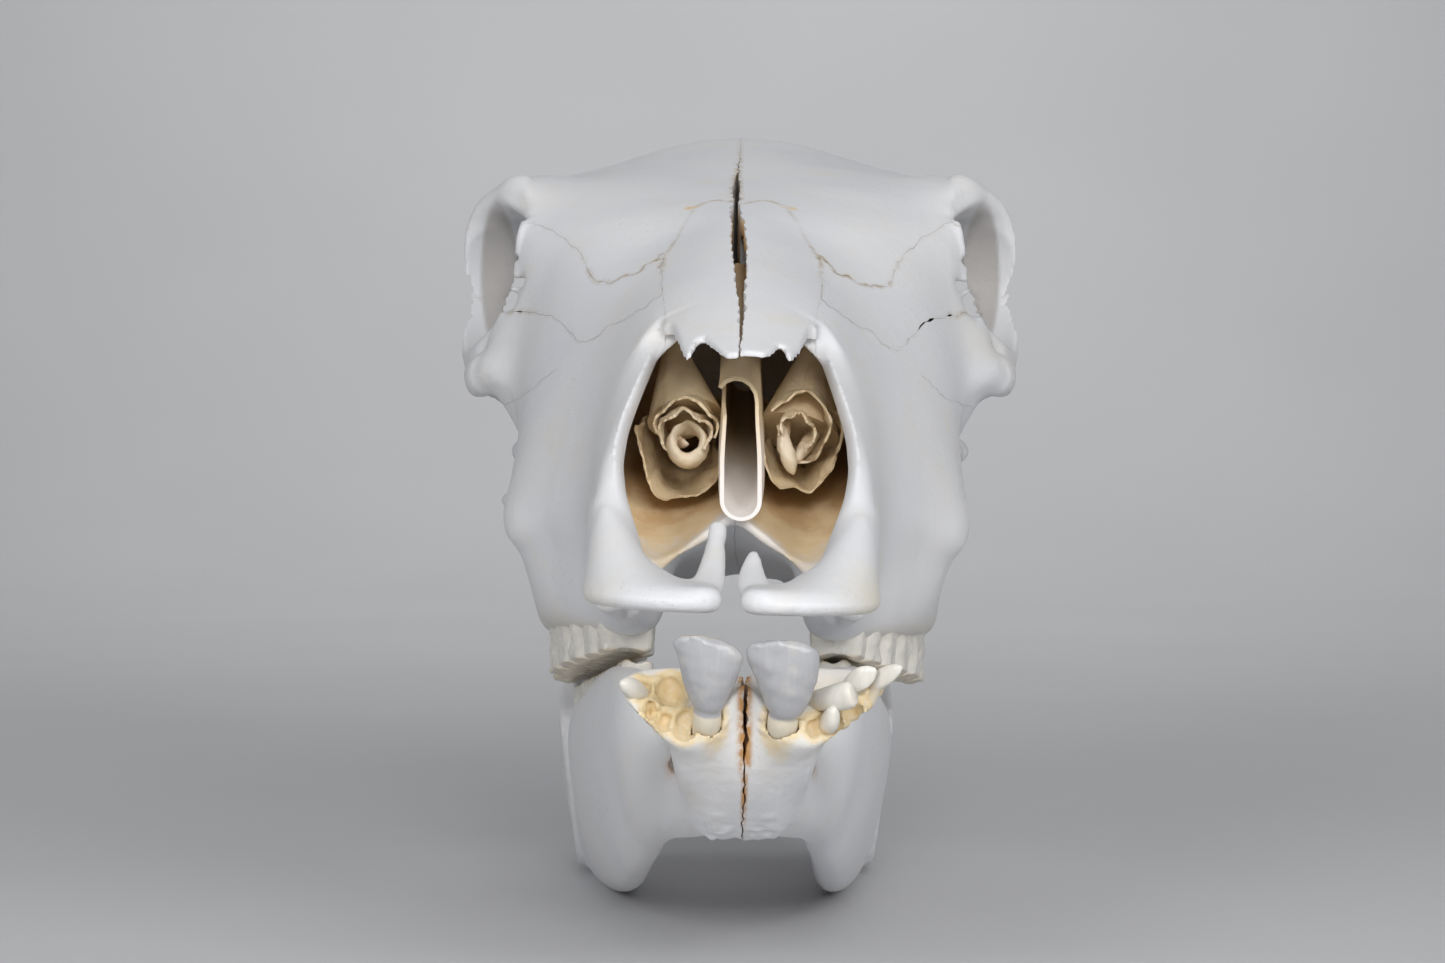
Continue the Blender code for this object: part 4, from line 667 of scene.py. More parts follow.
def prism(name, outline, axis, low, high, slope=None):
    """An outline drawn across one axis and extended along it, from low to high. Axis x takes (distance, z).

    With a slope, low is measured from that function of the outline's second coordinate.
    """
    def corner(pair, depth):
        a, b = pair
        return place({"x": (depth, a, b), "y": (a, depth, b), "z": (a, b, depth)}[axis])

    maker = bmesh.new()
    loop = [maker.verts.new(corner(pair, low + (slope(pair[1]) if slope else 0))) for pair in outline]
    for i, vert in enumerate(loop):
        maker.edges.new((vert, loop[(i + 1) % len(loop)]))
    filled = bmesh.ops.triangle_fill(maker, use_beauty=True, edges=maker.edges[:])
    faces = [part for part in filled["geom"] if isinstance(part, bmesh.types.BMFace)]
    raised = bmesh.ops.extrude_face_region(maker, geom=faces, use_keep_orig=True)
    index = {"x": 0, "y": 1, "z": 2}[axis]
    for part in raised["geom"]:
        if isinstance(part, bmesh.types.BMVert):
            part.co[index] = corner((0, 0), high)[index]
    return new_object(name, maker)


def mirrored(thing):
    """The same shape on the skull's other side."""
    maker = bmesh.new()
    maker.from_mesh(thing.data)
    flip = Matrix.Translation((2 * OFFSET[0], 0, 0)) @ Matrix.Diagonal((-1, 1, 1, 1))
    bmesh.ops.transform(maker, matrix=flip, verts=maker.verts)
    return new_object(thing.name + "_other", maker)


def copied(thing, name):
    """A second object with a copy of a mesh."""
    piece = bpy.data.objects.new(name, thing.data.copy())
    bpy.context.scene.collection.objects.link(piece)
    return piece


def both(thing):
    """A shape and its mirror image."""
    return [thing, mirrored(thing)]


def apply_modifiers(thing):
    """Replaces an object's mesh by what its modifiers make of it."""
    bpy.context.view_layer.update()
    graph = bpy.context.evaluated_depsgraph_get()
    made = bpy.data.meshes.new_from_object(thing.evaluated_get(graph))
    thing.modifiers.clear()
    worn, thing.data = thing.data, made
    bpy.data.meshes.remove(worn)


def fused(name, things, pitch):
    """One closed surface round all the given solids."""
    maker = bmesh.new()
    for thing in things:
        maker.from_mesh(thing.data)
        drop(thing)
    whole = new_object(name, maker, outwards=False)
    remesh = whole.modifiers.new("fuse", "REMESH")
    remesh.mode = "VOXEL"
    remesh.voxel_size = pitch
    apply_modifiers(whole)
    return whole


def combine(thing, other, operation, solver="EXACT"):
    """Cuts another solid from an object, joins it or keeps what both share."""
    cut = thing.modifiers.new("cut", "BOOLEAN")
    cut.operation = operation
    cut.solver = solver
    cut.object = other
    apply_modifiers(thing)


def carve(thing, cutters, solver="EXACT"):
    """Takes all the cutters from an object."""
    for cutter in cutters:
        combine(thing, cutter, "DIFFERENCE", solver)
        drop(cutter)


def relax(thing, rounds):
    """Smooths a surface, each round followed by one that swells it back to its size."""
    for _ in range(rounds):
        for factor in (0.5, -0.52):
            smooth = thing.modifiers.new("relax", "SMOOTH")
            smooth.factor = factor
            smooth.iterations = 1
    apply_modifiers(thing)


def thin_out(thing, limit):
    """Takes corners out of a surface's flattest places until it has no more triangles than the limit."""
    thing.data.calc_loop_triangles()
    thin = thing.modifiers.new("thin", "DECIMATE")
    thin.ratio = min(1, limit / len(thing.data.loop_triangles))
    apply_modifiers(thing)


def islands_of(maker):
    """The face groups of a bmesh that hang together, smallest first."""
    unseen, found = set(maker.faces), []
    while unseen:
        island, edge = [], [unseen.pop()]
        while edge:
            face = edge.pop()
            island.append(face)
            near = {other for line in face.edges for other in line.link_faces} & unseen
            unseen -= near
            edge += near
        found.append(island)
    return sorted(found, key=len)


def keep_largest(thing):
    """Drops the crumbs that a cut leaves beside the piece itself."""
    maker = bmesh.new()
    maker.from_mesh(thing.data)
    crumbs = [face for island in islands_of(maker)[:-1] for face in island]
    bmesh.ops.delete(maker, geom=crumbs, context="FACES")
    maker.to_mesh(thing.data)
    maker.free()


# ------------------------------------------------------------ strokes


class Surface:
    """A mesh's corners and normals, which strokes and swells move."""

    def __init__(self, thing):
        self.thing = thing
        self.points = table_points(thing)
        normals = np.empty(len(self.points) * 3, np.float32)
        thing.data.vertex_normals.foreach_get("vector", normals)
        self.normals = normals.reshape(-1, 3).astype(float)

    def distance(self, path, reach):
        """Each corner's distance to a line of points, as far as it is within reach."""
        line = np.array(path, float)
        near = np.all((self.points > line.min(0) - reach) & (self.points < line.max(0) + reach), axis=1)
        found = np.full(len(self.points), 1e9)
        spots = self.points[near]
        best = np.full(len(spots), 1e9)
        if len(line) == 1:
            best = np.linalg.norm(spots - line[0], axis=1)
        for start, end in zip(line, line[1:]):
            step = end - start
            share = np.clip((spots - start) @ step / (step @ step), 0, 1)
            best = np.minimum(best, np.linalg.norm(spots - start - share[:, None] * step, axis=1))
        found[near] = best
        return found

    def stroke(self, path, depth, width, facing=None):
        """Raises, or with a depth below zero presses in, a strip along a line of points."""
        away = self.distance(path, 3 * width)
        lift = depth * np.exp(-(away / width) ** 2)
        if facing is not None:
            lift = lift * fade(self.normals @ np.array(facing, float), 0.0, 0.4)
        self.points += self.normals * lift[:, None]

    def pair(self, path, depth, width, facing=None):
        """The same stroke on both sides."""
        self.stroke(path, depth, width, facing)
        other = None if facing is None else (-facing[0], *facing[1:])
        self.stroke([(-x, y, z) for x, y, z in path], depth, width, other)

    def swell(self, height, wavelength, seed, where=1.0):
        """Soft random swells and hollows."""
        lift = ripple(self.points, wavelength, seed) * height * where
        self.points += self.normals * lift[:, None]

    def ease(self, where, rounds):
        """Evens the surface out, fully where the share is 1."""
        edges = np.empty(2 * len(self.thing.data.edges), np.int32)
        self.thing.data.edges.foreach_get("vertices", edges)
        first, second = edges.reshape(-1, 2).T
        known = where > 0.01
        used = known[first] | known[second]
        first, second, total = first[used], second[used], len(where)
        count = np.maximum(np.bincount(first, minlength=total) + np.bincount(second, minlength=total), 1)
        share = 0.5 * where * known
        for _ in range(rounds):
            for axis in range(3):
                level = self.points[:, axis]
                near = np.bincount(first, level[second], total) + np.bincount(second, level[first], total)
                level += share * (near / count - level)

    def write(self):
        """Puts the corners back in the mesh."""
        set_table_points(self.thing, self.points)


def set_attribute(thing, name, values):
    """Stores a number for each corner of a mesh, for its material to read."""
    layer = thing.data.attributes.get(name) or thing.data.attributes.new(name, "FLOAT", "POINT")
    layer.data.foreach_set("value", np.asarray(values, np.float32))


def nearness(points, spots, reach):
    """1 on the spots, falling to 0 at a reach from the nearest of them."""
    tree = kdtree.KDTree(len(spots))
    for i, spot in enumerate(spots):
        tree.insert(spot, i)
    tree.balance()
    near = np.all((points > spots.min(0) - reach) & (points < spots.max(0) + reach), axis=1)
    found = np.zeros(len(points))
    away = np.array([tree.find(point)[2] for point in points[near]])
    found[near] = 1 - fade(away, 0.3 * reach, reach)
    return found


# ------------------------------------------------------------ the head


def trimmed_vault():
    """The vault with its nape: a hollow, steep surface under the poll that turns forward at the sides."""
    vault = guided_block("vault", VAULT_GUIDES)
    carve(vault, [prism("nape", NAPE, "x", -130, 130)] + both(prism("nape side", NAPE_SIDE, "z", 60, 330)))
    return vault


def face_solids():
    """The face with its open, hollow nose, and the nose's inner skin as points."""
    face = guided_block("face", FACE_GUIDES)
    half, corner = FISSURE_HALF_WIDTH, PALATE_FRONT - 8
    fissure = [(-half, 20), (half, 20), (half, corner), (20, PALATE_FRONT), (-20, PALATE_FRONT),
               (-half, corner)]
    hollow = guided_block("hollow", NOSE_GUIDES)
    back = NOSE_GUIDES["floor"][-1][0]
    end = [(x, back, z) for x in range(-18, 19, 3) for z in range(160, 250, 3)]
    inner = np.concatenate([table_points(hollow), end])
    opening = prism("opening", NOSE_OPENING, "x", -70, 70)
    carve(face, [opening, prism("fissure", fissure, "z", 90, 150), hollow])
    return face, inner


def nasal_plate(side):
    """The free front of one nasal bone: a thin arched plate trimmed to the bone's notched end."""
    rings = []
    for at in np.linspace(62, 140, 50):
        edge, edge_z, mid_z, thickness = along(NASAL_ROWS, at)
        arch = [(edge * t, edge_z + (mid_z - edge_z) * (1 - t ** 2.2)) for t in np.linspace(0, 1, 18)]
        under = [(x, z - thickness) for x, z in reversed(arch)]
        rings.append([(side * x, at, z) for x, z in arch + under])
    plate = wrapped("nasal plate", rings)
    tip = smooth_path(NASAL_TIPS[side], 4, closed=True)
    trim = prism("trim", [(side * max(x, 0.4), y) for x, y in tip], "z", 150, 260)
    combine(plate, trim, "INTERSECT")
    drop(trim)
    return plate


def flank_block(side):
    """The slope from the wing's front edge back to the side of the face."""
    wing = np.array(INCISIVE_WING)
    rings = []
    for level in np.linspace(FLANK[0][0], FLANK[-1][0], 60):
        x, y, half, deep = (np.interp(level, wing[:, 2], wing[:, column]) for column in (0, 1, 3, 4))
        side_x, side_y = along(FLANK, level)
        plan = [(x - half, y + 2), (x - 0.5 * half, y - 0.85 * deep), (x + 0.3 * half, y - 0.82 * deep),
                (side_x + 0.3, side_y + 1), (side_x - 1, side_y + 12), (x - half + 2, side_y + 12)]
        rings.append([(side * a, b, level) for a, b in plan])
    return wrapped("flank", rings)


def slope_block(side):
    """The smooth slope from the plate's front edge up to the wing's rim."""
    foot, edge = INCISIVE_LOW + 3, INCISIVE_HIGH + 0.1
    rings = []
    for x in np.linspace(INCISIVE_SLOPE[0][0], INCISIVE_SLOPE[-1][0], 40):
        front, back, top = along(INCISIVE_SLOPE, x)
        run, rise = back - front, top - 128
        plan = [(front + 0.8, foot), (front + 1.4, edge - 0.8), (front + 0.3 * run, edge + 0.26 * rise),
                (front + 0.65 * run, edge + 0.63 * rise), (back, top), (back + 5, top - 4), (back, foot)]
        rings.append([(side * x, y, z) for y, z in plan])
    return wrapped("slope", rings)


def incisive_block(side):
    """One incisive bone: its flat body, its wing up the side of the nose and its thin middle spine."""
    plan = smooth_path([(side * x, y) for x, y in INCISIVE_PLATE], 5, closed=True)
    middle, half = (INCISIVE_LOW + INCISIVE_HIGH) / 2, (INCISIVE_HIGH - INCISIVE_LOW) / 2
    rings = []
    for turn in np.linspace(-1.45, 1.45, 15):
        inset = half * 0.85 * (1 - math.cos(turn))
        rings.append([(x, y, middle + half * math.sin(turn)) for x, y in grown(plan, -inset)])
    whole = fused("incisive", [
        wrapped("plate", rings),
        swept("wing", [(side * x, y, z, a, b) for x, y, z, a, b in INCISIVE_WING], (1, 0, 0)),
        swept("spine", INCISIVE_SPINES[side], (0, 0, 1)),
        ellipsoid("corner", (side * 24, 33, 126), (9, 9, 6.5)),
        slope_block(side),
        flank_block(side),
    ], 1.1 * MM)
    smooth = whole.modifiers.new("soften", "SMOOTH")
    smooth.iterations = 12
    relax(whole, 8)
    return whole


def build_head(bones):
    """The skull without its jaw as one worked surface, and the skin of its hollow nose as points."""
    face, inner = face_solids()
    solids = [face, trimmed_vault()]
    for thing in (
        ring_swept("rim", ORBIT_RIM, ORBIT_CENTRE),
        swept("arch", ARCH, (0, 0, 1)),
        ellipsoid("bulla", (40, 374, 142), (10, 15, 14)),
        cone("meatus", (52, 368, 176), (84, 372, 182), 11, 8),
        cone("paracondylar", (62, 402, 158), (56, 408, 102), 13, 4),
        ellipsoid("condyle", (27, 421, 151), (17, 14, 24), (12, 28, 0)),
        ellipsoid("joint tubercle", (69, 341, 160), (19, 6, 6)),
        ellipsoid("joint", (68, 349, 160), (23, 12, 9)),
        prism("pterygoid", PTERYGOID, "x", 17, 22),
    ):
        solids += both(thing)
    head = fused("head", solids, bones.block_pitch)
    relax(head, 14)
    openings = [cone("foramen magnum", (0, 450, 162), (0, 396, 165), 18, 15)]
    for thing in (
        swept("orbit", ORBIT_HOLLOW, (0, 0, 1), sides=40),
        cone("optic canal", (50, 288, 207), (20, 300, 200), 5, 3),
        cone("ear", (95, 373, 183), (66, 369, 178), 4.5, 3.5),
        swept("infraorbital", INFRAORBITAL_CANAL, (0, 0, 1)),
    ):
        openings += both(thing)
    for side in SIDES:
        openings += [ellipsoid("bite", (side * x, y, z), (a, b, c)) for x, y, z, a, b, c in RIM_BITES[side]]
    carve(head, openings, "MANIFOLD")
    thin = [head]
    for side in SIDES:
        thin += [nasal_plate(side), incisive_block(side)]
    head = fused("head", thin, bones.pitch)
    relax(head, 3)
    keep_largest(head)
    work_over(head, bones)
    return head, inner


def work_over(head, bones):
    """The ridges, evened places and soft swells of the head's surface."""
    skin = Surface(head)
    skin.pair(TEMPLE_RIDGE, 1.4, 3.5)
    skin.pair(CHEEK_RIDGE, 0.8, 3.2)
    out, back, height = np.abs(skin.points).T
    muzzle = (1 - fade(back, 50, 62)) * fade(out, 9, 15) * between(height, (124, 127), (144, 152))
    skin.ease(muzzle, 70)
    outward = fade(skin.normals[:, 0] * np.sign(skin.points[:, 0]), -0.4, 0.1)
    wing = fade(out, 24, 29) * between(back, (50, 60), (112, 120)) * between(height, (148, 156), (194, 202))
    skin.ease(outward * wing, 90)
    skin.pair(BROW_RIDGE, 3.2, 8.0)
    out, back, height = np.abs(skin.points).T
    forehead = (1 - fade(out, 68, 80)) * between(back, (205, 225), (290, 310)) * fade(height, 222, 240)
    skin.ease(forehead, 260)
    cheek = fade(out, 66, 76) * between(back, (190, 215), (246, 249)) * fade(height, 150, 165)
    skin.ease(cheek, 60)
    skin.pair(FACIAL_CREST, 0.7, 5.0, (1, 0, 0))
    for share, wavelength, seed in ((1, 22.0, 3), (0.6, 9.0, 4), (0.3, 4.0, 5)):
        skin.swell(bones.unevenness * share, wavelength, seed)
    skin.write()


def grown(outline, gap):
    """An outline moved outwards by a gap, which may be one number or one for each point."""
    points = np.array(outline, float)
    after, before = np.roll(points, -1, 0), np.roll(points, 1, 0)
    turn = np.sign(np.sum(points[:, 0] * after[:, 1] - after[:, 0] * points[:, 1]))

    def outward(start, end):
        step = (end - start) / np.linalg.norm(end - start, axis=1)[:, None]
        return np.stack([step[:, 1], -step[:, 0]], 1) * turn

    first, second = outward(before, points), outward(points, after)
    middle = first + second
    reach = np.maximum(np.sum(middle * first, 1), 0.4)
    return points + middle * (np.asarray(gap) / reach)[:, None]


def ragged(outline, reach, seed):
    """An outline with a suture's small teeth, resampled every 0.8 mm."""
    points = np.array(outline, float)
    ends = np.roll(points, -1, 0)
    fine = []
    for start, end in zip(points, ends):
        steps = max(1, int(np.linalg.norm(end - start) / 0.8))
        fine += [start + (end - start) * i / steps for i in range(steps)]
    fine = np.array(fine)
    for _ in range(12):
        fine = 0.5 * fine + 0.25 * (np.roll(fine, 1, 0) + np.roll(fine, -1, 0))
    wave = reach * (0.75 * ripple(fine, 7.0, seed) + 0.35 * ripple(fine, 2.6, seed + 1))
    return grown(fine, wave)


def marks(points):
    """One number for each point, the same for the same point."""
    return points.astype(np.float64) @ np.array([7919.123, 104729.77, 1299709.31])


class Parting:
    """Cuts bones out of the whole head along ragged lines and remembers where the cuts run."""

    def __init__(self, whole, gap, reach):
        self.whole, self.gap, self.reach = whole, gap / MM, reach / MM
        self.seams = []
        self.seed = 20

    def note(self, thing, known, strength):
        """Remembers the corners that a cut has made."""
        corners = raw_corners(thing)
        self.seams.append((in_tables(corners[~np.isin(marks(corners), known)]), strength))

    def bone(self, name, outline, axis, low, high, strength, reach=1.0, slope=None):
        """One bone, or a pair across the middle, cut out of the head."""
        self.seed += 2
        line = ragged(outline, self.reach * reach, self.seed)
        region = prism("region", line, axis, low, high, slope)
        piece = copied(self.whole, name)
        known = marks(raw_corners(self.whole))
        combine(piece, region, "INTERSECT", "MANIFOLD")
        drop(region)
        self.note(piece, known, strength)
        gaps = self.gap * (1 + 0.5 * ripple(line, 9.0, self.seed + 1))
        wider = grown(line, np.maximum(gaps, 0.05))
        wide = prism("region", wider, axis, low - self.gap, high + self.gap, slope)
        combine(self.whole, wide, "DIFFERENCE", "MANIFOLD")
        drop(wide)
        return piece

    def halves(self, pair, name, strength, gaping):
        """Splits a pair of bones along the ragged middle, whose gap widens over the nose if it is gaping."""
        stations = np.arange(-20, 450, 0.8)
        if gaping:
            centres, widths = np.array([along(MIDLINE_GAP, at) for at in stations]).T
        else:
            centres, widths = np.zeros(len(stations)), np.full(len(stations), 0.1)
        line = np.stack([centres, stations], 1)
        sway = 0.35 * ripple(line, 8.0, 11) + 0.2 * ripple(line, 3.0, 12)
        found = {}
        for side, word in SIDES.items():
            own = 0.35 * ripple(line, 6.0, 13 + side) * np.minimum(widths, 1)
            edge = centres + sway + side * np.maximum(widths + own, 0.08)
            outer = side * (REGION_HALF_WIDTH + 15)
            shape = list(zip(edge, stations)) + [(outer, 449.2), (outer, -20)]
            region = prism("half", shape, "z", 40, 330)
            known = marks(raw_corners(pair))
            piece = copied(pair, name + "_" + word)
            combine(piece, region, "INTERSECT", "MANIFOLD")
            drop(region)
            keep_largest(piece)
            self.note(piece, known, strength)
            found[name + "_" + word] = piece
        drop(pair)
        return found


def dorsal_height(at):
    """Height of the face's midline at a distance behind the muzzle."""
    return along(FACE_GUIDES["midline"], at)[1]


def part_head(head, bones):
    """Parts the head into its bones along the sutures. What is left is the braincase."""
    cut = Parting(head, bones.suture_gap, bones.suture_teeth)
    parts = {}

    def pair(name, outline, axis, low, high, strength, middle, reach=1.0, gaping=False, slope=None):
        """Cuts out two bones as one and splits them. The strengths are those of their seams' stains."""
        piece = cut.bone(name, outline, axis, low, high, strength, reach, slope)
        parts.update(cut.halves(piece, name, middle, gaping))

    def across(name, region, strength, middle, reach=1.0, gaping=False):
        pair(name, region, "x", -REGION_HALF_WIDTH, REGION_HALF_WIDTH, strength, middle, reach, gaping)

    edge = [spot for spot in NASAL_REGION if spot[0] > 0]
    nasals = [NASAL_REGION[0], *edge, NASAL_REGION[-1], *((-x, y) for x, y in reversed(edge))]
    pair("nasal", nasals, "z", -NASAL_DEPTH, 275, 0.75, 0.0, 0.5, True, dorsal_height)
    across("incisive", INCISIVE_REGION, 0.5, 0.0, 0.5)
    for side, word in SIDES.items():
        for name, region, low, high, strength in (("lacrimal", LACRIMAL_REGION, 130, 262, 1.0),
                                                  ("zygomatic", ZYGOMATIC_REGION, 180, 318, 0.6)):
            piece = cut.bone(name, [(side * x, z) for x, z in region], "y", low, high, strength)
            keep_largest(piece)
            parts[name + "_" + word] = piece
    across("frontal", FRONTAL_REGION, 0.6, 0.8, gaping=True)
    pair("palatine", PALATINE_REGION, "x", -PALATINE_HALF_WIDTH, PALATINE_HALF_WIDTH, 0.5, 0.3)
    across("maxilla", MAXILLA_REGION, 0.4, 0.3)
    keep_largest(head)
    thin_out(head, BRAINCASE_TRIANGLES)
    parts["braincase"] = head
    return parts, cut.seams


def twisted(points):
    """The slight turn of the face about its length, which grows towards the muzzle."""
    turn = np.interp(points[:, 1], *np.array(TWIST).T)
    return np.stack([points[:, 0] - turn * (TWIST_HEIGHT - points[:, 2]), points[:, 1],
                     points[:, 2] - turn * points[:, 0]], 1)


def turned_jaw(points):
    """The lower jaw lies a little askew under the head."""
    shift = JAW_SHIFT + JAW_YAW * points[:, 1]
    return points + np.stack([shift, 0 * shift, 0 * shift], 1)


def move(thing, how):
    """Moves a mesh's corners by a function of their places."""
    set_table_points(thing, how(table_points(thing)))


def blob(points, centre, radii):
    """1 in the middle of an ellipsoid of influence, fading outwards."""
    away = (points - centre) / radii
    return np.exp(-np.sum(away * away, axis=1))


def mark_bone(bone, seams, inner):
    """Stores on a bone its seams, warm patches, inside of the nose and painted shade of orbits and nasal gap.
    """
    points = table_points(bone)
    seam = np.zeros(len(points))
    for spots, strength in seams:
        if len(spots) and strength:
            seam = np.maximum(seam, strength * nearness(points, spots, 1.6))
    x, back, height = points.T
    strong = sum(blob(np.abs(points), centre, radii) for centre, radii in STAINED_SEAMS)
    # The side walls of the gap between the nasal bones take the suture's brown too: partly the seam's stain,
    # partly painted shade of the narrow, deep gap.
    walls = fade(np.abs(Surface(bone).normals[:, 0]), 0.6, 0.9) * (1 - fade(np.abs(x + 1.2), 3.4, 4.6))
    walls *= between(back, (92, 110), (270, 290)) * fade(height, 190, 200)
    set_attribute(bone, "seam", np.maximum(seam * np.clip(0.12 + strong, 0, 1), walls))
    # Painted shade: marks the inner face of the bar behind each orbit, under the brow, to be greyed as if in
    # shadow.
    shade = between(back, (262, 285), (312, 325)) * fade(np.abs(x), 60, 75)
    off = (np.abs(x) - 92) ** 2 / 7.5 ** 2 + (height - 228) ** 2 / 27 ** 2
    set_attribute(bone, "hollow", shade * (1 - fade(off, 0.75, 1.15)))
    behind = back - np.interp(height, *np.array(NOSE_RIM).T)
    inside = nearness(points, inner, 5.0) * fade(behind, -2.0, 2.0)
    set_attribute(bone, "deep", inside * fade(behind, 4.0, 85.0))
    warm = sum(strength * blob(points, centre, radii) for centre, radii, strength in WARM_PATCHES)
    warm += 0.5 * (1 - fade(height, 102, 112)) * fade(back, 110, 130)
    set_attribute(bone, "warm", np.clip(warm, 0, 1))


# ------------------------------------------------------------ nose


def build_vomer():
    """The vomer: a thin trough with an oblique front, whose right wall curls over its open top."""
    wall, top, curl_start, curl_radius = 1.3, 52.0, 38, 8
    turns = np.linspace(math.pi, 2 * math.pi, 22)
    rise = np.linspace(0, 1, 16)[1:]
    rings = []
    for share in np.linspace(0, 1, 60):
        at = VOMER_FRONT + share * (VOMER[-1][0] - VOMER_FRONT)
        half, low, high = along(VOMER, at)
        inner = half - wall
        left_top = (max(high, 182) - low - half) * (0.86 + 0.14 * share)
        outside = [(-half, low + half + left_top * r) for r in rise[::-1]]
        outside += [(half * math.cos(t), low + half + half * math.sin(t)) for t in turns]
        outside += [(half, low + half + top * r) for r in rise]
        inside = [(inner, low + half + top * r) for r in rise[::-1]]
        inside += [(inner * math.cos(t), low + half + (half - wall * 0.9) * math.sin(t)) for t in turns[::-1]]
        inside += [(-inner, low + half + left_top * r) for r in rise]
        ring = []
        for x, z in outside + inside:
            slant = 0.42 * (z - low) * (1 - share)
            if x > 0 and z - low > curl_start:
                turn, axle = (z - low - curl_start) / curl_radius, half - curl_radius
                x, z = axle + (x - axle) * math.cos(turn), low + curl_start + (x - axle) * math.sin(turn)
            pinch = 1.05 - 0.15 * fade(z - low, 17, 36)
            ring.append((x * pinch + 2.0 - 0.03 * (z - low), at + slant, z))
        rings.append(ring)
    return wrapped("vomer_trough", rings)


def scroll(centre, turns, radii, stations, waves, seed, squeeze, taper):
    """A thin sheet rolled up round an axis along the nose. Its radius and front edge are uneven."""
    count, rows, wall, climb = 90, 40, 0.8, 0.16
    maker = bmesh.new()
    bmesh.ops.create_grid(maker, x_segments=count, y_segments=rows, size=1)
    maker.verts.ensure_lookup_table()
    front, back = stations
    angles = np.radians(np.linspace(*turns, count + 1))
    spread = np.linspace(0, 1, count + 1)
    edge = np.stack([np.cos(angles), np.sin(angles), spread * 3], 1)
    uneven = 1 + waves * ripple(edge, 1.2, seed)
    start = front + 3.0 * ripple(edge, 1.0, seed + 1) + 1.2 * ripple(edge, 0.35, seed + 2)
    for row in range(rows + 1):
        share = row / rows
        for column in range(count + 1):
            radius = (radii[0] + (radii[1] - radii[0]) * spread[column] ** 0.8) * uneven[column]
            radius *= (1 - taper * share) * (1 + 0.05 * math.sin(19 * share + 5 * angles[column]))
            at = start[column] + (back - start[column]) * share
            x = centre[0] + radius * squeeze * math.cos(angles[column])
            z = centre[1] + radius * math.sin(angles[column]) + climb * (at - front)
            maker.verts[row * (count + 1) + column].co = place((x, at, z))
    sheet = new_object("scroll", maker)
    solid = sheet.modifiers.new("wall", "SOLIDIFY")
    solid.thickness = wall * MM
    solid.offset = 0
    apply_modifiers(sheet)
    return sheet


def build_concha(side, word):
    """The scrolls in one half of the nose, joined into one piece."""
    sheets = [scroll(*row) for row in SCROLLS[side]]
    if side < 0:
        sheets.append(ring_swept("curl", CURL, CURL_CENTRE))
    sheets += [swept("lobe", path, reference) for path, reference in LOBES[side]]
    sheets.append(cone("cone", *CONCHA_CONES[side]))
    maker = bmesh.new()
    for sheet in sheets:
        skin = Surface(sheet)
        skin.swell(0.25, 4.0, 91)
        skin.write()
        maker.from_mesh(sheet.data)
        drop(sheet)
    return new_object("concha_scroll_" + word, maker, outwards=False)


# ------------------------------------------------------------ teeth


def tooth_outline(lobes, styles, inner_groove, ribbing):
    """Plan of a cheek tooth: (along, across) from -1 to 1, across being outwards."""
    points = []
    for turn in np.linspace(0, 2 * math.pi, 96, endpoint=False):
        along_row = math.copysign(abs(math.cos(turn)) ** 0.42, math.cos(turn))
        across = math.copysign(abs(math.sin(turn)) ** 0.5, math.sin(turn))
        if across > 0:
            ribs = sum(math.exp(-((along_row - at) / 0.2) ** 2) for at in styles)
            across = across * (0.975 + 0.025 * ribs * ribbing)
        else:
            dip = math.exp(-(along_row / 0.16) ** 2) if lobes > 1 else 0
            across = across * (1 - inner_groove * dip)
        points.append((along_row, across))
    return np.array(points)


def chewing_relief(along_row, across, lobes):
    """Height of the worn chewing face: sharp outer and inner crescents and pits between them."""
    wave = math.cos(lobes * math.pi * along_row) if lobes > 1 else 1 - along_row ** 2
    outer = 1.4 * math.exp(-((across - 0.6) / 0.25) ** 2) * (0.85 + 0.15 * wave)
    inner = 1.0 * math.exp(-((across + 0.58) / 0.25) ** 2) * (0.85 + 0.15 * wave)
    centres = (-0.5, 0.5) if lobes > 1 else (0.0,)
    pits = sum(1.5 * math.exp(-((along_row - c) / 0.22) ** 2 - (across / 0.14) ** 2) for c in centres)
    return outer + inner - pits


def cheek_tooth(row, start, end, upper, side, lobes):
    """One cheek tooth of a row: stacked rings that close over the chewing face."""
    at = (start + end) / 2
    outer, inner, gum, chew = along(row, at)
    before, after = along(row, start), along(row, end)
    lean = ((after[0] + after[1]) - (before[0] + before[1])) / 2 / (end - start)
    half_length, half_width = (end - start) / 2 - 0.06, (outer - inner) / 2
    styles = (-0.5, 0.5) if lobes > 1 else (0.0,)
    ribbing = (1.0 if upper else 0.5) * (lobes - 0.4) / 1.6
    plan = tooth_outline(lobes, styles, 0.3, ribbing)
    way = -1 if upper else 1
    rings = []
    root, crown = gum - way * 7, chew - way * 1.2
    for share in np.linspace(0, 1, 12):
        level = root + (crown - root) * share
        swell = 0.95 + 0.05 * math.sin(math.pi * min(1, 0.35 + 0.65 * share))
        rings.append([(s * swell, t * swell, level) for s, t in plan])
    for scale in (0.97, 0.9, 0.8, 0.68, 0.55, 0.42, 0.29, 0.16, 0.05):
        inner_ring = plan * scale
        rings.append([(s, t, crown + way * (0.5 + chewing_relief(s, t, lobes))) for s, t in inner_ring])
    middle = (outer + inner) / 2
    laid = []
    for ring in rings:
        points = []
        for s, t, level in ring:
            along_y = at + s * half_length - t * half_width * lean * 0.6
            x = middle + t * half_width + (along_y - at) * lean
            rise = along(row, np.clip(along_y, row[0][0], row[-1][0]))[3] - chew
            points.append((side * x, along_y, level + rise))
        laid.append(points)
    return wrapped("tooth", laid)


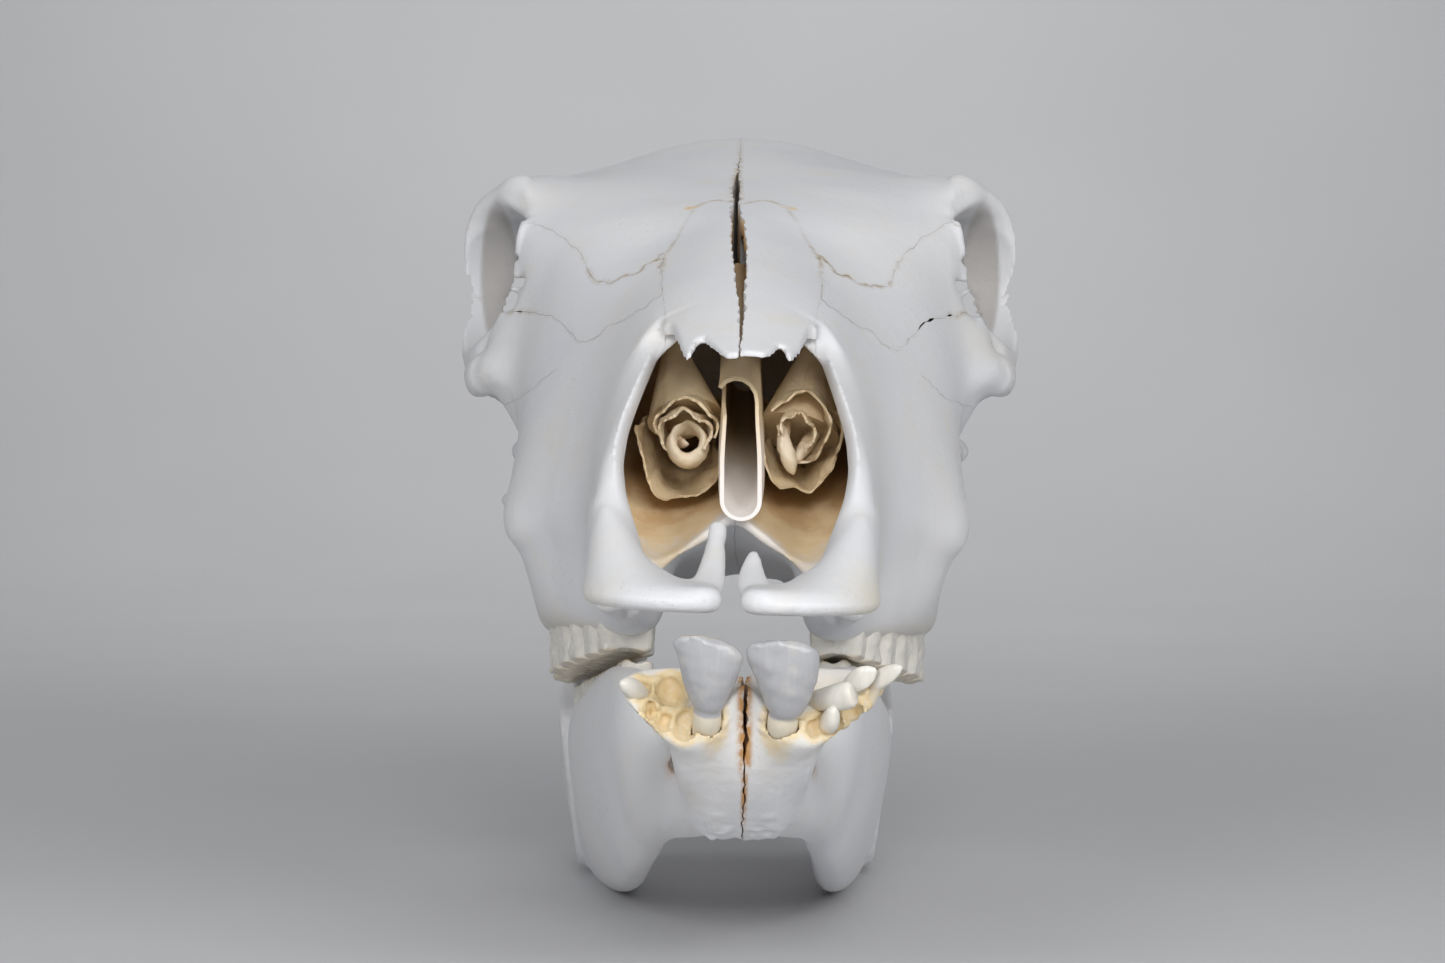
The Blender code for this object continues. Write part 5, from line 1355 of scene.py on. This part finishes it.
def build_cheek_teeth(row, ends, upper, side, name):
    """A row of six cheek teeth as one piece."""
    maker = bmesh.new()
    for i, (start, end) in enumerate(zip(ends, ends[1:])):
        tooth = cheek_tooth(row, start, end, upper, side, 1 if i < 3 else 2)
        maker.from_mesh(tooth.data)
        drop(tooth)
    teeth = fused(name, [new_object("row", maker, outwards=False)], 0.6 * MM)
    relax(teeth, 6)
    skin = Surface(teeth)
    outer = fade(side * skin.normals[:, 0], 0.1, 0.6)
    skin.swell(0.6, 9.0, 81 + side, outer)
    skin.swell(0.16, 3.6, 83 + side)
    skin.write()
    points = skin.points
    gums = np.array([along(row, y)[2:] for y in np.clip(points[:, 1], row[0][0], row[-1][0])])
    share = (points[:, 2] - gums[:, 0]) / (gums[:, 1] - gums[:, 0])
    set_attribute(teeth, "crown", fade(share, 0.0, 0.55))
    set_attribute(teeth, "worn", fade(share, 0.93, 1.02))
    return teeth


def build_incisor(side, name):
    """A first lower incisor: a wide, thin spade that overhangs its round root."""
    rows = smooth_path(CROWNS[side], 6)
    turns = np.linspace(0, 2 * math.pi, 48, endpoint=False)
    flat = np.sign(np.sin(turns)) * np.abs(np.sin(turns)) ** 0.8
    crown = wrapped("crown", [[(x + broad * c, y + thick * f, z) for c, f in zip(np.cos(turns), flat)]
                              for x, y, z, broad, thick in rows])
    points = table_points(crown)
    off = np.abs(points[:, 0] - np.interp(points[:, 2], rows[:, 2], rows[:, 0]))
    off = off / np.interp(points[:, 2], rows[:, 2], rows[:, 3])
    points[:, 1] += 1.8 * np.minimum(off, 1) ** 2 * fade(points[:, 2], 90, 97)
    set_table_points(crown, points)
    root = swept("root", [(x, y, z, thick, broad) for x, y, z, broad, thick in ROOTS[side]],
                 (0, 1, 0.25), 8, 40)
    tooth = fused(name, [crown, root], 0.5 * MM)
    relax(tooth, 6)
    skin = Surface(tooth)
    high = fade(skin.points[:, 2], 92, 98)
    skin.swell(0.18, 5.0, 63 + side, high * fade(-skin.normals[:, 1], 0.2, 0.7))
    skin.swell(0.12, 2.6, 65 + side, fade(skin.points[:, 2], 109, 112.5))
    skin.write()
    set_attribute(tooth, "crown", nearness(skin.points, points, 1.6) * fade(skin.points[:, 2], 87, 91))
    edge = fade(skin.points[:, 2], 112.6, 114.5) * fade(skin.normals[:, 2], 0.5, 0.9)
    set_attribute(tooth, "worn", 0.5 * edge)
    return tooth


def build_small_teeth(side, name):
    """The small front teeth of one side as one piece."""
    maker = bmesh.new()
    for path in SMALL_TEETH[side]:
        tooth = swept("small tooth", path, (0, 0, 1), steps=8, sides=36)
        neck, tip = np.array(path[1][:3]), np.array(path[-1][:3])
        share = (table_points(tooth) - neck) @ (tip - neck) / np.sum((tip - neck) ** 2)
        set_attribute(tooth, "crown", fade(share, 0.02, 0.22))
        maker.from_mesh(tooth.data)
        drop(tooth)
    teeth = new_object(name, maker, outwards=False)
    points = table_points(teeth)
    set_attribute(teeth, "worn", 0.45 * blob(points, (31.9, 6.2, 96.1), (3.0, 1.2, 2.4)))
    return teeth


# ------------------------------------------------------------ lower jaw


def chin_block(side):
    """The front of one half of the jaw, with its spoon of sockets: a skin from past the middle outwards."""
    rings = []
    for at in np.linspace(-6, CHIN_GUIDES["chin"][-1][0], 90):
        spread = min(at, CHIN_SPREAD_FROM) + max(at - CHIN_SPREAD_FROM, 0) * CHIN_SPREAD[side]
        outline = [along(guide, max(at, 0)) for guide in CHIN_GUIDES.values()]
        rings.append([(side * spread, y, z) for y, z in smooth_path(outline, 8, closed=True)])
    return wrapped("chin", rings)


def build_jaw(side, bones):
    """One half of the lower jaw, with its sockets."""
    rings = []
    for at in np.linspace(JAW_BODY[0][0], JAW_BODY[-1][0], 120):
        top_x, top, top_half, bottom_x, bottom, bottom_half = along(JAW_BODY, at)
        ring = []
        for turn in np.linspace(0, 2 * math.pi, 48, endpoint=False):
            across = math.copysign(abs(math.cos(turn)) ** 0.85, math.cos(turn))
            share = (math.copysign(abs(math.sin(turn)) ** 0.85, math.sin(turn)) + 1) / 2
            middle = bottom_x + (top_x - bottom_x) * share
            half = bottom_half + (top_half - bottom_half) * share
            ring.append((side * (middle + half * across), at, bottom + (top - bottom) * share))
        rings.append(ring)
    solids = [wrapped("jaw body", rings), chin_block(side)]
    plan = smooth_path(RAMUS, 5, closed=True)
    ramus = prism("ramus", plan, "x", -RAMUS_THICKNESS / 2, RAMUS_THICKNESS / 2)
    points = table_points(ramus)
    points[:, 0] += RAMUS_BOTTOM_X + (RAMUS_TOP_X - RAMUS_BOTTOM_X) * points[:, 2] / RAMUS_TOP_Z
    points[:, 0] *= side
    set_table_points(ramus, points)
    if side < 0:  # Its faces have turned inwards, and a new object's point out again.
        maker = bmesh.new()
        maker.from_mesh(ramus.data)
        drop(ramus)
        ramus = new_object("ramus", maker)
    solids += [ramus, ellipsoid("condyle", (side * 70, 349, 142), (18, 7, 6), (0, side * 6, 0))]
    jaw = fused("jaw", solids, bones.block_pitch)
    relax(jaw, 10)
    cutters = [ellipsoid("socket", centre, radii) for centre, radii in SOCKETS[side]]
    root = [(x, y, z, thick + ROOT_PLAY, broad + ROOT_PLAY) for x, y, z, broad, thick in ROOTS[side]]
    cutters.append(swept("root", root, (0, 1, 0.25), sides=32))
    walls = np.concatenate([table_points(cutter) for cutter in cutters])
    pore = side * FORAMINA[side]
    cutters += [
        swept("mental foramen", [(pore, 30, FORAMINA_Z, 3.2, 1.8), (pore, 54, FORAMINA_Z, 3, 1.8),
                                 (pore - 2 * side, 74, 70, 2.6, 1.8)], (0, 0, 1)),
        cone("jaw foramen", (side * 44, 306, 106), (side * 62, 312, 98), 4.5, 2.5),
    ]
    carve(jaw, cutters, "MANIFOLD")
    jaw = fused("jaw", [jaw], bones.jaw_pitch)
    relax(jaw, 3)
    skin = Surface(jaw)
    jaw_details(skin, side, bones, walls)
    skin.write()
    floor = prism("floor", [(-20, -30), (400, -30), (400, 0), (-20, 0)], "x", -120, 120)
    carve(jaw, [floor, symphysis_cutter(side)], "MANIFOLD")
    keep_largest(jaw)
    return jaw, walls


def symphysis_cutter(side):
    """What lies beyond the ragged middle of the chin, seen from one side."""
    maker = bmesh.new()
    rows, columns = 90, 70
    bmesh.ops.create_grid(maker, x_segments=columns, y_segments=rows, size=1)
    maker.verts.ensure_lookup_table()
    across, up = np.meshgrid(np.linspace(-20, 110, columns + 1), np.linspace(20, 130, rows + 1))
    spots = np.stack([across.ravel(), up.ravel()], 1)
    sway = 0.5 * ripple(spots, 9.0, 71) + 0.35 * ripple(spots, 4.0, 72)
    own = 0.6 * ripple(spots, 4.5, 73 + side) + 0.45 * ripple(spots, 2.4, 77 + side)
    open_top = 0.4 * fade(spots[:, 1], 74, 82) + 0.25
    for vert, (y, z), offset, rough, wide in zip(maker.verts, spots, sway, own, open_top):
        vert.co = place((offset + side * (wide + max(rough, -0.8) * wide * 0.6), y, z))
    outer = bmesh.ops.extrude_face_region(maker, geom=maker.faces[:], use_keep_orig=True)
    far = place((-side * 60, 0, 0)).x
    for part in outer["geom"]:
        if isinstance(part, bmesh.types.BMVert):
            part.co.x = far
    return new_object("symphysis", maker)


def jaw_details(skin, side, bones, walls):
    """The hollow, swells, evened places and rough sockets of one half of the jaw."""
    hollow = [(side * 66, 290, 60), (side * 68, 320, 80), (side * 68, 326, 50)]
    skin.stroke(hollow, -1.6, 14.0, (side, 0, 0))
    skin.swell(bones.unevenness, 20.0, 6)
    skin.swell(bones.unevenness * 0.6, 8.0, 7)
    points = skin.points
    pore = blob(points, (side * FORAMINA[side], 50, FORAMINA_Z), (7, 40, 8))
    chin = fade(np.abs(points[:, 0]), 9, 17) * (1 - fade(points[:, 2], 60, 80))
    skin.ease(chin * (1 - fade(points[:, 1], 110, 140)) * (1 - np.clip(2 * pore, 0, 1)), 220)
    skin.swell(0.05, 4.0, 8, 1 - fade(points[:, 1], 40, 70))
    skin.swell(0.65, 3.2, 9, nearness(points, walls, 3.5) * fade(points[:, 2], 80, 88))
    edge = (1 - fade(points[:, 2], 50, 56)) * (1 - fade(np.abs(points[:, 0]), 14, 18))
    low = edge * (1 - fade(points[:, 1], 54, 60))
    points[:, 2] += 0.5 * ripple(points, 3.4, 10) * low


def mark_jaw(jaw, side, walls):
    """Stores on the jaw where its sockets and the stained gap of the chin are."""
    points = table_points(jaw)
    spoon = blob(points, (side * 25, 18, 96), (14, 14, 9))
    set_attribute(jaw, "socket", nearness(points, walls, 3.0) + 0.4 * spoon)
    front = fade(points[:, 2], 48, 60) * (1 - fade(points[:, 1], 30, 50))
    off = np.abs(points[:, 0]) / (0.4 + 0.6 * fade(points[:, 2], 68, 76))
    gap = (1 - fade(off, 1.2, 3.0)) * front
    pore = blob(points, (side * FORAMINA[side], 56, FORAMINA_Z), (3.2, 12, 4.5))
    set_attribute(jaw, "rust", np.maximum(gap, 0.8 * pore))
    set_attribute(jaw, "warm", 0.3 * blob(points, (0, 20, 90), (40, 25, 18)))


# ------------------------------------------------------------ finishes


class Finish:
    """A material's shader nodes, joined up in the ways that the finishes share."""

    def __init__(self, name, colour):
        self.material = bpy.data.materials.new(name)
        self.material.use_nodes = True
        self.tree = self.material.node_tree
        self.spot = self.node("ShaderNodeTexCoord").outputs["Object"]
        self.colour = colour

    def feed(self, socket, value):
        """Links one input to another node's output, or sets it."""
        if isinstance(value, bpy.types.NodeSocket):
            self.tree.links.new(value, socket)
        else:
            socket.default_value = (*value, 1) if socket.type == "RGBA" else value

    def node(self, kind, inputs=None, **settings):
        """A shader node with its settings and inputs."""
        made = self.tree.nodes.new(kind)
        for key, value in settings.items():
            setattr(made, key, value)
        for key, value in (inputs or {}).items():
            self.feed(made.inputs[key], value)
        return made

    def stored(self, name):
        """A number stored on the mesh."""
        return self.node("ShaderNodeAttribute", attribute_name=name).outputs["Fac"]

    def noise(self, scale, detail, rough=0.55):
        """A noise of the given scale per metre."""
        inputs = {"Vector": self.spot, "Scale": scale, "Detail": detail, "Roughness": rough}
        return self.node("ShaderNodeTexNoise", inputs).outputs["Fac"]

    def ranged(self, value, low, high, to_low=0.0, to_high=1.0):
        """A value spread from one range to another, smoothly."""
        inputs = {"Value": value, "From Min": low, "From Max": high, "To Min": to_low, "To Max": to_high}
        return self.node("ShaderNodeMapRange", inputs, interpolation_type="SMOOTHSTEP").outputs["Result"]

    def calculated(self, operation, first, second):
        """The result of one sum on two numbers or sockets, kept from 0 to 1."""
        both_in = {0: first, 1: second}
        return self.node("ShaderNodeMath", both_in, operation=operation, use_clamp=True).outputs[0]

    def times(self, first, second):
        """The product of two numbers or sockets."""
        return self.calculated("MULTIPLY", first, second)

    def tint(self, share, colour):
        """Lays another colour over what is there, as strongly as the share."""
        mix = self.node("ShaderNodeMix", {0: share, 6: self.colour, 7: colour}, data_type="RGBA")
        self.colour = mix.outputs[2]

    def done(self, roughness, specular=0.5, **bump):
        """Connects the shader, with a bump if its height, strength and distance are given."""
        shader = self.tree.nodes["Principled BSDF"]
        self.feed(shader.inputs["Base Color"], self.colour)
        self.feed(shader.inputs["Roughness"], roughness)
        self.feed(shader.inputs["Specular IOR Level"], specular)
        if bump:
            raised = self.node("ShaderNodeBump", {name.capitalize(): value for name, value in bump.items()})
            self.feed(shader.inputs["Normal"], raised.outputs["Normal"])
        return self.material


def bone_material(name, colours):
    """Bleached bone: cool white, ivory patches, stained seams, pores, fine grain, painted shade in orbits and
    nasal gap.
    """
    bone = Finish(name, colours.bone)
    drift, speck = bone.noise(14.0, 3.0), bone.noise(700.0, 3.0, 0.7)
    patches = bone.ranged(bone.noise(45.0, 5.0, 0.6), 0.52, 0.75)
    warm = bone.times(bone.stored("warm"), bone.ranged(drift, 0.3, 0.6, 0.6, 1.0))
    bone.tint(bone.calculated("ADD", warm, bone.times(patches, 0.25)), colours.ivory)
    bone.tint(bone.ranged(drift, 0.45, 0.7, 0.0, 0.35), colours.cool)
    seam = bone.times(bone.stored("seam"), bone.ranged(bone.noise(260.0, 3.0), 0.38, 0.62, 0.15, 1.0))
    # The suture colour is a real stain along the seams, and painted shade on the side walls of the gap
    # between the nasal bones.
    bone.tint(bone.times(seam, 0.85), colours.suture)
    # Painted shade: the dull orbit grey laid on the bar inside each orbit.
    bone.tint(bone.times(bone.stored("hollow"), 0.75), colours.hollow)
    inside = bone.times(bone.stored("deep"), bone.ranged(bone.noise(90.0, 4.0), 0.3, 0.7, 1.0, 2.2))
    bone.tint(bone.ranged(inside, 0.0, 0.45), colours.nose)
    bone.tint(bone.ranged(inside, 0.35, 1.0), colours.nose_deep)
    bone.tint(bone.times(bone.stored("socket"), bone.ranged(speck, 0.3, 0.7, 0.6, 1.0)), colours.socket)
    stain = bone.ranged(bone.noise(300.0, 3.0), 0.3, 0.6, 0.2, 1.0)
    bone.tint(bone.times(bone.stored("rust"), stain), colours.rust)
    pores = bone.node("ShaderNodeTexVoronoi", {"Vector": bone.spot, "Scale": 420.0}).outputs["Distance"]
    pits = bone.times(bone.ranged(pores, 0.1, 0.22, 1.0, 0.0), bone.ranged(bone.noise(30.0, 2.0), 0.5, 0.66))
    bone.tint(bone.times(pits, 0.25), colours.pore)
    grain = bone.calculated("ADD", bone.times(speck, 0.35), bone.times(bone.noise(180.0, 5.0, 0.6), 0.65))
    grain = bone.calculated("SUBTRACT", grain, bone.times(pits, 0.35))
    rough = bone.ranged(drift, 0.3, 0.7, 0.46, 0.62)
    return bone.done(rough, 0.42, height=grain, strength=0.55, distance=0.0006)


def tooth_material(name, colours, enamel):
    """Enamel with faint upright streaks, over a cream neck and root."""
    tooth = Finish(name, colours.dentine)
    crown = tooth.stored("crown")
    drawn = tooth.node("ShaderNodeMapping", {"Vector": tooth.spot, "Scale": (900, 900, 90)}).outputs[0]
    streaks = tooth.node("ShaderNodeTexNoise", {"Vector": drawn, "Scale": 1, "Detail": 3}).outputs["Fac"]
    tooth.tint(tooth.ranged(crown, 0.1, 0.8), enamel)
    tooth.tint(tooth.ranged(tooth.noise(160.0, 4.0), 0.5, 0.75, 0.0, 0.3), colours.tooth_cream)
    tooth.tint(tooth.ranged(streaks, 0.5, 0.75, 0.0, 0.22), colours.tooth_streak)
    tooth.tint(tooth.stored("worn"), colours.worn)
    rough = tooth.ranged(crown, 0.0, 1.0, 0.5, 0.26)
    return tooth.done(rough, height=streaks, strength=0.25, distance=0.0003)


def scroll_material(name, colours):
    """Thin tan bone of the nose's scrolls and trough, paler at the front and browner behind."""
    sheet = Finish(name, colours.scroll)
    mottle = sheet.noise(120.0, 5.0, 0.6)
    sheet.tint(sheet.ranged(mottle, 0.3, 0.7), colours.nose)
    sheet.tint(sheet.stored("pale"), colours.scroll_pale)
    sheet.tint(sheet.times(sheet.stored("stain"), sheet.ranged(mottle, 0.35, 0.6)), colours.scroll_stain)
    sheet.tint(sheet.stored("deep"), colours.nose_deep)
    return sheet.done(0.5, height=sheet.noise(420.0, 5.0, 0.65), strength=0.6, distance=0.0006)


def paper_material(name, colour):
    """The dull floor and wall, barely uneven in tone."""
    paper = Finish(name, colour)
    paper.tint(paper.ranged(paper.noise(3.0, 2.0), 0.3, 0.7), [0.97 * part for part in colour])
    return paper.done(0.9)


def shared_material(slot, maker, *values):
    """The material of a slot, made the first time it is asked for."""
    return bpy.data.materials.get(slot + "_finish") or maker(slot + "_finish", *values)


def dress(piece, name, nodes, material, sharp=55.0):
    """Names a piece, gives it its material, and ties it to the frame."""
    piece.name = name
    piece.data.name = name
    piece.data.materials.clear()
    piece.data.materials.append(material)
    piece.data.shade_smooth()
    piece.data.set_sharp_from_angle(angle=math.radians(sharp))
    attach(piece, "root")
    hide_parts(*nodes)


SLOTS = {"braincase": "skull_bone", "frontal": "skull_bone", "palatine": "skull_bone", "nasal": "face_bone",
         "incisive": "face_bone", "lacrimal": "face_bone", "maxilla": "face_bone", "zygomatic": "cheek_bone"}


class SKULL_OT_head(bpy.types.Operator):
    """Builds the bones of the head and parts them along their sutures"""
    bl_idname = "skull.head"
    bl_label = "Head bones"

    def execute(self, context):
        bones, finish = context.scene.skull_bones, context.scene.skull_finish
        head, inner = build_head(bones)
        parts, seams = part_head(head, bones)
        for node, part in parts.items():
            mark_bone(part, seams, inner)
            move(part, twisted)
            slot = SLOTS[node.split("_")[0]]
            material = shared_material(slot, bone_material, finish)
            dress(part, node + "_bone", [node], material)
        return {"FINISHED"}


class SKULL_OT_upper_teeth(bpy.types.Operator):
    """Builds the two rows of upper cheek teeth"""
    bl_idname = "skull.upper_teeth"
    bl_label = "Upper cheek teeth"

    def execute(self, context):
        finish = context.scene.skull_finish
        material = shared_material("cheek_enamel", tooth_material, finish, finish.cheek_enamel)
        for side, word in SIDES.items():
            teeth = build_cheek_teeth(UPPER_ROW, UPPER_ENDS, True, side, "upper_teeth_" + word)
            move(teeth, twisted)
            dress(teeth, "upper_teeth_" + word, ["maxilla_" + word], material, 40.0)
        return {"FINISHED"}


class SKULL_OT_nose(bpy.types.Operator):
    """Builds the trough of the vomer and the scrolls in the nose"""
    bl_idname = "skull.nose"
    bl_label = "Vomer and scrolls"

    def execute(self, context):
        material = shared_material("nose_bone", scroll_material, context.scene.skull_finish)
        vomer = build_vomer()
        points = table_points(vomer)
        set_attribute(vomer, "pale", (1 - fade(points[:, 2], 160, 182)) * (1 - fade(points[:, 1], 115, 170)))
        set_attribute(vomer, "stain", 0.6 * blob(points, (1, 112, 166), (5, 22, 5)))
        set_attribute(vomer, "deep", fade(points[:, 1], 140, 200))
        move(vomer, twisted)
        dress(vomer, "vomer_trough", ["vomer"], material)
        for side, word in SIDES.items():
            concha = build_concha(side, word)
            points = table_points(concha)
            set_attribute(concha, "pale", 0.4 * blob(points, (side * 16.5, 108, 170), (8, 12, 8)))
            set_attribute(concha, "stain", 0.6 * fade(ripple(points, 9.0, 81), 0.3, 0.8))
            set_attribute(concha, "deep", fade(points[:, 1], 130, 190))
            move(concha, twisted)
            dress(concha, "concha_scroll_" + word, ["ventral_concha_" + word], material)
        return {"FINISHED"}


class SKULL_OT_jaw(bpy.types.Operator):
    """Builds the two halves of the lower jaw"""
    bl_idname = "skull.jaw"
    bl_label = "Lower jaw"

    def execute(self, context):
        bones, finish = context.scene.skull_bones, context.scene.skull_finish
        material = shared_material("jaw_bone", bone_material, finish)
        for side, word in SIDES.items():
            jaw, walls = build_jaw(side, bones)
            mark_jaw(jaw, side, walls)
            move(jaw, turned_jaw)
            dress(jaw, "mandible_" + word + "_bone", ["mandible_" + word], material)
        return {"FINISHED"}


class SKULL_OT_lower_teeth(bpy.types.Operator):
    """Builds the lower cheek teeth and the small front teeth"""
    bl_idname = "skull.lower_teeth"
    bl_label = "Lower cheek teeth and small front teeth"

    def execute(self, context):
        finish = context.scene.skull_finish
        material = shared_material("cheek_enamel", tooth_material, finish, finish.cheek_enamel)
        for side, word in SIDES.items():
            teeth = build_cheek_teeth(LOWER_ROW, LOWER_ENDS, False, side, "lower_teeth_" + word)
            move(teeth, turned_jaw)
            dress(teeth, "lower_teeth_" + word, ["mandible_" + word], material, 40.0)
            teeth = build_small_teeth(side, "small_teeth_" + word)
            move(teeth, turned_jaw)
            dress(teeth, "small_teeth_" + word, ["mandible_" + word], material, 60.0)
        return {"FINISHED"}


class SKULL_OT_incisors(bpy.types.Operator):
    """Builds the two first lower incisors"""
    bl_idname = "skull.incisors"
    bl_label = "First incisors"

    def execute(self, context):
        finish = context.scene.skull_finish
        material = shared_material("enamel", tooth_material, finish, finish.enamel)
        for side, word in SIDES.items():
            tooth = build_incisor(side, "incisor_" + word + "_tooth")
            move(tooth, turned_jaw)
            dress(tooth, "incisor_" + word + "_tooth", ["incisor_" + word], material, 60.0)
        return {"FINISHED"}


def curved_floor():
    """A floor that bends up into a wall behind the skull."""
    front, back, bend, height, half_width = -3, 1.6, 0.8, 2.6, 4
    flat_steps, bend_steps, wall_steps = 4, 30, 6
    maker = bmesh.new()
    bmesh.ops.create_grid(maker, x_segments=1, y_segments=flat_steps + bend_steps + wall_steps, size=1)
    maker.verts.ensure_lookup_table()
    for index, vert in enumerate(maker.verts):
        step = index // 2
        x = half_width if index % 2 else -half_width
        if step <= flat_steps:
            vert.co = (x, front + (back - front) * step / flat_steps, 0)
        elif step <= flat_steps + bend_steps:
            turn = math.pi / 2 * (step - flat_steps) / bend_steps
            vert.co = (x, back + bend * math.sin(turn), bend * (1 - math.cos(turn)))
        else:
            vert.co = (x, back + bend, bend + height * (step - flat_steps - bend_steps) / wall_steps)
    floor = new_object("floor", maker, outwards=False)
    floor.data.shade_smooth()
    return floor


def area_light(name, spot, target, size, power):
    """A round soft light at a place, turned to a target."""
    lamp = bpy.data.lights.new(name, "AREA")
    lamp.shape = "DISK"
    lamp.size = size
    lamp.energy = power
    thing = bpy.data.objects.new(name, lamp)
    bpy.context.scene.collection.objects.link(thing)
    thing.location = spot
    thing.rotation_euler = (Vector(target) - Vector(spot)).to_track_quat("-Z", "Y").to_euler()


class SKULL_OT_stage(bpy.types.Operator):
    """Sets the camera, the lights, the floor and the wall behind"""
    bl_idname = "skull.stage"
    bl_label = "Camera, light and floor"

    def execute(self, context):
        scene, stage = context.scene, context.scene.skull_stage
        muzzle = place((0, 0, 0))
        camera = bpy.data.objects.new("camera", bpy.data.cameras.new("camera"))
        scene.collection.objects.link(camera)
        camera.data.lens = stage.focal
        camera.data.sensor_width = 36
        camera.location = (muzzle.x, muzzle.y - stage.distance, stage.eye_height)
        camera.rotation_euler = (math.radians(90) - stage.pitch, 0, stage.yaw)
        scene.camera = camera

        floor = curved_floor()
        floor.data.materials.append(paper_material("paper", stage.floor))

        for light in LIGHTS:
            area_light(*light)
        world = bpy.data.worlds.new("studio")
        world.use_nodes = True
        sky = world.node_tree.nodes["Background"].inputs
        sky["Color"].default_value = (*stage.sky, 1)
        sky["Strength"].default_value = 0.15
        scene.world = world
        scene.view_settings.view_transform = "Standard"
        return {"FINISHED"}


OPERATORS = (SKULL_OT_head, SKULL_OT_upper_teeth, SKULL_OT_nose, SKULL_OT_jaw, SKULL_OT_lower_teeth,
             SKULL_OT_incisors, SKULL_OT_stage)


class SKULL_PT_panel(bpy.types.Panel):
    """Lists the skull's settings and the buttons that build it"""
    bl_idname = "SKULL_PT_panel"
    bl_label = "Young bull skull"
    bl_space_type = "VIEW_3D"
    bl_region_type = "UI"
    bl_category = "Skull"

    def draw(self, context):
        for group in (context.scene.skull_bones, context.scene.skull_finish, context.scene.skull_stage):
            box = self.layout.box()
            for name in group.__annotations__:
                box.prop(group, name)
        for operator in OPERATORS:
            self.layout.operator(operator.bl_idname)


CLASSES = (SkullBones, SkullFinish, SkullStage, *OPERATORS, SKULL_PT_panel)


def register():
    for kind in CLASSES:
        bpy.utils.register_class(kind)
    bpy.types.Scene.skull_bones = bpy.props.PointerProperty(type=SkullBones)
    bpy.types.Scene.skull_finish = bpy.props.PointerProperty(type=SkullFinish)
    bpy.types.Scene.skull_stage = bpy.props.PointerProperty(type=SkullStage)


def unregister():
    del bpy.types.Scene.skull_bones, bpy.types.Scene.skull_finish, bpy.types.Scene.skull_stage
    for kind in reversed(CLASSES):
        bpy.utils.unregister_class(kind)


def main():
    register()
    bpy.ops.skull.head()
    bpy.ops.skull.upper_teeth()
    bpy.ops.skull.nose()
    bpy.ops.skull.jaw()
    bpy.ops.skull.lower_teeth()
    bpy.ops.skull.incisors()
    bpy.ops.skull.stage()


if __name__ == "__main__":
    main()
